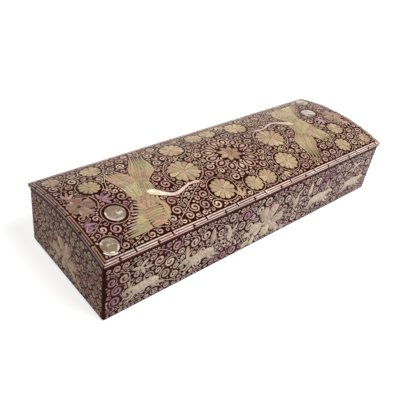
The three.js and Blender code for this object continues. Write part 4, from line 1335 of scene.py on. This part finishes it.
FRET_WIDTH = 3.4
ROSETTE_FIELD = 19.2
lid_ground = OpenGround(lid_reach_x - FRET_WIDTH, FRET_WIDTH - lid_reach_s, lid_reach_s - FRET_WIDTH)
for turn in (1, -1):
    for x, y, radius, _ in CHRYSANTHEMUMS.values():
        lid_ground.off_disc(turn * x, turn * y, radius + 0.1)
    for x, y, radius in DOMES.values():
        lid_ground.off_disc(turn * x, turn * y, radius + 0.2)
    lid_ground.off_disc(turn * PLUM_HEART[0], turn * PLUM_HEART[1], 6.4)
    lid_ground.off_disc(turn * (PLUM_HEART[0] + 6), turn * PLUM_HEART[1], 4.2)
    for x, y, radius, start, sweep in LID_HOOPS:
        hoop = hoop_points(x, y, radius, start, sweep, max(3, int(abs(sweep) / 8)))
        points = [(turn * px, turn * py) for px, py in hoop]
        lid_ground.off_line(points, STEM_WIDTH / 2 + 0.1)
        if sweep > 200:
            lid_ground.off_disc(turn * x, turn * y, radius - 0.3)
        lid_stem_paths.append(points)
for path in lid_stem_paths[:2 * len(LID_VINES)]:
    lid_ground.off_line(path, STEM_WIDTH / 2)
for bird in cranes:
    lid_ground.off_sheet(bird)
lid_ground.off_disc(0, 0, ROSETTE_FIELD)

# Leaf sprays: a few long leaves spread from one root. Each spray's root, number of leaves, heading and length
LEAF_SPRAYS = {
    "violet": [(-105.6, -8.4, 3, 160, 4.6), (-116.0, -13.6, 4, -30, 7.4), (-117.2, -19.0, 3, 20, 6.0),
               (-97.6, -0.6, 5, 20, 8.4)],
    "rosy": [(-90.6, 4.4, 3, 60, 4.6), (-112.6, 8.6, 3, 70, 7.4)],
    "golden": [(-20.4, -36.0, 3, 80, 8.4), (-20.8, 30.6, 3, 100, 6.4), (-45.6, 17.8, 3, 110, 5.0),
               (-36.0, 11.0, 3, 75, 5.0)],
}
violet_shell = shell_finish(
    "violet_shell", "pink_shell", (206, 166, 168), (166, 118, 132), (196, 176, 168), (200, 184, 216),
    (0.2, 0.36, LEFT_SHADE))
SPRAY_SHELL = {"violet": violet_shell, "rosy": pink_shell, "golden": gold_shell}
for kind, sprays in LEAF_SPRAYS.items():
    leaves_cut = ShellSheet("sprays " + kind)
    for x, y, leaves, heading, length in sprays:
        for k in range(leaves):
            angle = math.radians(heading + (k - (leaves - 1) / 2) * 34)
            reach = length * (1 - 0.14 * abs(k - (leaves - 1) / 2))
            for turn in (1, -1):
                path = [swung(x, y, reach * t, angle, turn) for t in (0.06, 0.2, 0.4, 0.6, 0.8, 0.92, 1)]
                leaves_cut.slip(path, leaf_widths(length * 0.26, 7))
                lid_ground.off_line(path, length * 0.13)
    lay_shell(f"lid_{kind}_sprays", leaves_cut, on_lid, "lid", SPRAY_SHELL[kind])

lid_curls = ShellSheet("lid curls")
LID_CURL_SIZES = (3.6, 3.1, 2.7, 2.4, 2.15, 1.95, 1.75, 1.55, 1.35, 1.15, 0.95, 0.78, 0.62)
# The left half is filled, and each curl's twin falls in the right half
lid_ground.room[lid_ground.x > 0.01] = -1
fill_with_curls(lid_curls, lid_ground, LID_CURL_SIZES, lid_stem_paths, (same, half_turn))
lay_shell("lid_curls", lid_curls, on_lid, "lid", pink_shell)

# ---- The front wall's figures ----
# Two leaping deer on each side of a great peony, cut from pale greenish shell. Petals and limbs are separate
# slips laid edge to edge.


def deer(sheet, place, size):
    """A leaping deer: head to the left, neck, body, folded legs, spike antlers and a short tail."""
    def part(points, widths, tone, count=9):
        path = [place((size * x, size * y)) for x, y in along_curve(points, count)]
        spread = []
        for k in range(count):
            at = k / (count - 1) * (len(widths) - 1)
            low = min(int(at), len(widths) - 2)
            spread.append(size * (widths[low] + (widths[low + 1] - widths[low]) * (at - low)))
        sheet.slip(path, spread, tone)

    part([(-5.4, -0.6), (-1, -0.4), (4, 0.4), (9.6, 0.2), (12.0, 1.2)],
         [5.2, 7.6, 7.6, 6.6, 6.8, 5.4, 2.2], 0.15, 14)
    part([(-5.8, 0.6), (-7.4, 1.6), (-8.4, 2.2)], [6.0, 4.4, 3.0], 0.2, 6)
    part([(-7.6, 2.6), (-9.6, 1.4), (-12.8, 0.0)], [2.2, 3.2, 2.2, 0.6], 0.3, 8)
    part([(-7.0, 2.6), (-7.8, 6.8), (-6.8, 11.6)], [1.4, 1.5, 0.2], 0.4, 6)
    part([(-6.6, 3.4), (-5.6, 6.0), (-3.4, 7.6)], [0.9, 1.2, 0.2], 0.4, 6)
    part([(-5.6, -2.2), (-8.0, -4.4), (-10.6, -3.4), (-12.2, -4.6)], [2.4, 1.6, 1.0, 0.4], 0.6, 9)
    part([(-3.6, -3.0), (-5.8, -5.6), (-8.6, -6.6), (-10.8, -6.2)], [2.2, 1.4, 0.9, 0.4], 0.6, 9)
    part([(10.6, -1.6), (12.6, -3.6), (15.2, -4.4), (17.6, -6.4)], [4.0, 2.2, 1.2, 0.4], 0.6, 9)
    part([(8.4, -1.8), (9.2, -4.4), (12.2, -5.8), (14.0, -7.6)], [3.6, 2.0, 1.1, 0.4], 0.6, 9)
    part([(12.2, 3.0), (13.6, 4.4), (14.2, 6.2)], [1.6, 1.2, 0.2], 0.5, 5)


def peony(sheet, x, y, scale, tone=0.3):
    """Big cupped petals laid round a small heart, with a few loose ones below."""
    # Each petal's middle, heading in degrees, length and width
    petals = [
        (-8.0, -4.0, 235, 7.4, 5.6), (6.4, -5.4, 318, 8.0, 6.4), (-0.4, -6.8, 268, 9.2, 8.6),
        (-10.4, -0.4, 174, 10.8, 8.4), (10.2, -0.2, 6, 10.8, 8.2), (-4.2, 7.8, 103, 10.2, 8.6),
        (4.0, 7.8, 73, 10.2, 8.6), (-17.6, -3.4, 168, 6.4, 4.0), (-18.0, -10.8, 205, 6.6, 4.4),
        (-11.8, -10.4, 250, 6.4, 4.6), (11.2, -9.4, 300, 6.6, 5.0), (17.4, -11.6, 335, 5.4, 3.8),
    ]
    for k, (px, py, heading, length, width) in enumerate(petals):
        angle = math.radians(heading)
        line = [swung(px, py, length * t, angle) for t in (-0.5, -0.36, -0.18, 0, 0.18, 0.34, 0.45, 0.5)]
        path = [(x + scale * u, y + scale * v) for u, v in line]
        sheet.slip(path, [w * scale for w in petal_widths(width, 0.55, 0.6, 8)], tone, 0.006 * k)
    for k in range(6):
        angle = math.radians(60 * k + 20)
        path = [(x + scale * t * math.cos(angle), y + scale * (1.0 + t * math.sin(angle)))
                for t in (0.3, 1.6, 3.2, 4.4, 5.2)]
        sheet.slip(path, [w * scale for w in (0.8, 2.2, 3.4, 3.0, 0.5)], tone + 0.4, 0.05)


# The middle and size of each deer, and of the peony
FRONT_DEER = {"outer": (-98.6, -6.2, 1.0), "inner": (-58.4, -5.6, 1.1)}
FRONT_PEONY = (3.6, -4.4, 1.0)
FIGURE_SHIFT = 2.2
WALL_MIDDLE = FELT_THICKNESS + WALL_HEIGHT / 2
BARE_RIM = 1.5


def on_front(u, v, lift):
    return (u, -(wall_y + lift), WALL_MIDDLE + v)


def on_back(u, v, lift):
    return (-u, wall_y + lift, WALL_MIDDLE + v)


def on_left_end(u, v, lift):
    return (-(wall_x + lift), -u, WALL_MIDDLE + v)


def on_right_end(u, v, lift):
    return (wall_x + lift, u, WALL_MIDDLE + v)


WALL_POLISH = {"Specular_IOR_Level": 0.05, "Coat_Weight": 1.0, "Coat_Roughness": 0.08, "Coat_IOR": 1.2}
figure_shell = shell_finish(
    "figure_shell", "grey_shell", (236, 212, 186), (224, 186, 168), (198, 188, 150), PLAIN_VIOLET,
    (0.44, 0.2, LEFT_SHADE), WAVY_RIPPLE, WALL_POLISH)
for half, side in HALVES:
    for name, (x, y, size) in FRONT_DEER.items():
        animal = ShellSheet(f"{half} {name} deer")
        deer(animal, lambda p: (side * (x + p[0]) + FIGURE_SHIFT, y + p[1]), size)
        lay_shell(f"{half}_{name}_deer_shell", animal, on_front, "box", figure_shell, f"{half}_{name}_deer")
bloom = ShellSheet("front peony")
peony(bloom, *FRONT_PEONY)
lay_shell("front_peony_petals", bloom, on_front, "box", figure_shell, "front_peony")

# ---- The scrollwork on the four walls ----
# Larger curls than the lid's, in greyer and rosier shell, with a few leaves, berries and long thin stems.
# The back wall repeats the front, and both ends carry a smaller peony in the same scrollwork.
WALL_CURL_SIZES = (4.0, 3.5, 3.1, 2.7, 2.35, 2.05, 1.8, 1.55, 1.35, 1.15, 0.95, 0.78, 0.62)
LONG_WALL_STEMS = [
    [(-118, -16), (-112, -14), (-104, -15.6), (-92, -13.8), (-84, -9), (-78, -11.4), (-70, -15.4), (-58, -16.4),
     (-46, -13), (-38, -5), (-30, 2.4), (-22, -4), (-15, -14.6)],
    [(-118, 13.4), (-108, 11.6), (-99, 15.2), (-88, 16.2), (-80, 12.4), (-74, 6), (-70.4, -1)],
    [(-70, 15.6), (-60, 13), (-50, 16), (-40, 12.6), (-32, 7.6), (-24, 12), (-14, 15.6), (-6, 13.4)],
]
LONG_WALL_LEAVES = [
    (-99.5, 9.0, 165, 8.0), (-94.6, 11.2, 40, 7.4), (-95.4, 5.6, 290, 7.4), (-91.6, 6.6, 350, 6.4),
    (-31.4, 1.6, 100, 13.0), (-27.4, 4.4, 60, 9.0), (-34.0, 8.4, 140, 7.4), (-45.2, 6.4, 92, 13.0),
    (-64.6, 3.6, 98, 9.4), (-24.4, -8.4, 300, 6.4), (-38.4, 1.4, 170, 6.4),
]
# Where the scrollwork is cut from violet shell: the middle, the half width and the half height of each patch
VIOLET_PATCHES = [(-115, -4, 7, 14), (-38, -15, 20, 6), (-78, 13, 9, 5), (-14, 13, 5, 5), (62, 7, 9, 9),
                  (93, -15, 12, 5)]
WALL_STEM_WIDTH = 0.6
WALL_CURL_WEIGHT = 1.16
BARE_FOOT = 0.9
BERRIES = [(-37, -2.2, 1.3), (-34, -6.6, 1.35), (-30.6, -7.2, 1.3), (-37.4, -7.6, 1.2), (-40.6, -4.8, 1.1)]

grey_shell = shell_finish(
    "grey_shell", "grey_shell", (234, 210, 192), (222, 178, 168), (206, 198, 168), (190, 134, 150),
    (0.4, 0.52, LEFT_SHADE), FINE_RIPPLE, WALL_POLISH)


def mirror(point):
    return (-point[0], point[1])


def dress_long_wall(name, surface, with_figures, seed):
    """Fills a long wall: figures, stems, leaves and berries first, then curls from large to small."""
    half_x, low_y, high_y = wall_x - 1.4, -WALL_HEIGHT / 2 + BARE_FOOT, WALL_HEIGHT / 2 - BARE_RIM
    sheet, leaves_cut, figures = ShellSheet(seed), ShellSheet(seed + " leaves"), ShellSheet(seed + " figures")
    sheet.violet = VIOLET_PATCHES
    ground = OpenGround(half_x, low_y, high_y)
    stems = []
    for twin in (same, mirror):
        for drawn in LONG_WALL_STEMS:
            path = stem(sheet, [twin(p) for p in drawn], WALL_STEM_WIDTH)
            ground.off_line(path, WALL_STEM_WIDTH / 2)
            stems.append(path)
        for x, y, heading, length in LONG_WALL_LEAVES:
            angle = math.radians(heading)
            path = [twin(swung(x, y, length * (t - 0.5), angle)) for t in (0, 0.16, 0.36, 0.58, 0.8, 1)]
            leaves_cut.slip(path, leaf_widths(length * 0.36, 6))
            ground.off_line(path, length * 0.15)
        for x, y, radius in BERRIES:
            spot = twin((x, y))
            leaves_cut.disc(*spot, radius)
            ground.off_disc(*spot, radius)
        for x, y, size in FRONT_DEER.values():
            sign = twin((1, 0))[0]
            deer(figures, lambda p: (sign * (x + p[0]) + FIGURE_SHIFT, y + p[1]), size)
    peony(figures, *FRONT_PEONY)
    ground.off_sheet(figures)
    if with_figures:
        lay_shell(name + "_figures", figures, surface, "box", figure_shell)
    lay_shell(name + "_leaves", leaves_cut, surface, "box", figure_shell)
    fill_with_curls(sheet, ground, WALL_CURL_SIZES, stems, (same,), WALL_CURL_WEIGHT)
    lay_shell(name, sheet, surface, "box", grey_shell)


dress_long_wall("front_scrollwork", on_front, False, "front scrolls")
dress_long_wall("back_scrollwork", on_back, True, "back scrolls")

END_STEMS = [
    [(-36, -12), (-30, -15), (-22, -12), (-17, -5), (-20, 2), (-27, 5), (-32, 2)],
    [(-36, 9), (-30, 12), (-22, 13.4), (-12, 15.6), (-4, 19.4)],
]
DULL_POLISH = {"Specular_IOR_Level": 0.02, "Coat_Weight": 0.3, "Coat_Roughness": 0.12, "Coat_IOR": 1.1}
dull_shell = shell_finish(
    "dull_shell", "grey_shell", (252, 214, 184), (238, 168, 156), (222, 204, 156), (204, 138, 156),
    (0.42, 0.36, 0.0), FINE_RIPPLE, DULL_POLISH)


def dress_end_wall(name, surface, seed):
    """Fills an arched end in the same way, round one peony."""
    half_x, low_y = wall_y - 1.6, -WALL_HEIGHT / 2 + BARE_FOOT
    sheet = ShellSheet(seed)
    ground = OpenGround(half_x, low_y, WALL_HEIGHT / 2 + ARCH_RISE - BARE_RIM)
    rim = [(x, seat_line(x) - WALL_MIDDLE - BARE_RIM) for x in np.linspace(-half_x, half_x, 30).tolist()]
    ground.off_patch(rim + [(half_x, 60), (-half_x, 60)], 0)
    stems = []
    for twin in (same, mirror):
        for drawn in END_STEMS:
            path = stem(sheet, [twin(p) for p in drawn], WALL_STEM_WIDTH)
            ground.off_line(path, WALL_STEM_WIDTH / 2)
            stems.append(path)
    bloom = ShellSheet(seed + " peony")
    peony(bloom, 0, -3.4, 0.86, 0.1)
    ground.off_sheet(bloom)
    lay_shell(name + "_peony", bloom, surface, "box", dull_shell)
    fill_with_curls(sheet, ground, WALL_CURL_SIZES[3:], stems, (same,), WALL_CURL_WEIGHT)
    lay_shell(name, sheet, surface, "box", dull_shell)


dress_end_wall("left_end_scrollwork", on_left_end, "left end scrolls")
dress_end_wall("right_end_scrollwork", on_right_end, "right end scrolls")

# ---- The light ----
# Soft daylight: a broad lamp above the front and a weaker one behind. The room is a warm white along the floor
# line and on the window side behind the box, and darker overhead and behind the camera.
WINDOW_SIDE = (0.6, 0.8, 0.0)
ROOM_COLOUR = (1, 0.9, 0.81, 1)
# Each lamp's place, width and power
LAMPS = {"key_lamp": ((0.2, -0.55, 1.0), 0.5, 10.4), "fill_lamp": ((-0.2, 0.8, 0.9), 0.36, 3.0)}

sky = bpy.data.worlds.new("pale_room")
bpy.context.scene.world = sky
tree = cleared_tree(sky)
direction = add_node(tree, "ShaderNodeTexCoord").outputs["Generated"]
height = add_node(tree, "ShaderNodeSeparateXYZ", _0=direction).outputs["Z"]
window = add_node(tree, "ShaderNodeVectorMath", {"operation": "DOT_PRODUCT"}, _0=direction, _1=WINDOW_SIDE)
side_light = stretch_range(tree, window.outputs["Value"], -0.4, 0.9, 0.3, 1.0)
upward_fall = stretch_range(tree, height, 0.1, 0.6, 0.9, 0.1)
floor_line = stretch_range(tree, height, 0.1, 0.18, 1.0, 0.0)
strength = maths(tree, "MAXIMUM", maths(tree, "MULTIPLY", upward_fall, side_light), floor_line)
# Where the camera sees the room itself, it is plain white
seen = add_node(tree, "ShaderNodeLightPath").outputs["Is Camera Ray"]
room = add_node(tree, "ShaderNodeBackground", Strength=maths(tree, "MAXIMUM", strength, seen),
                Color=blend_colours(tree, seen, ROOM_COLOUR, (1, 1, 1, 1)))
add_node(tree, "ShaderNodeOutputWorld", Surface=room.outputs[0])

for name, (spot, width, power) in LAMPS.items():
    lamp_data = bpy.data.lights.new(name, "AREA")
    lamp_data.shape = "DISK"
    lamp_data.size = width
    lamp_data.energy = power
    lamp = bpy.data.objects.new(name, lamp_data)
    lamp.location = spot
    lamp.rotation_euler = (-Vector(spot)).to_track_quat("-Z", "Y").to_euler()
    bpy.context.scene.collection.objects.link(lamp)

bpy.context.scene.view_settings.view_transform = "Standard"
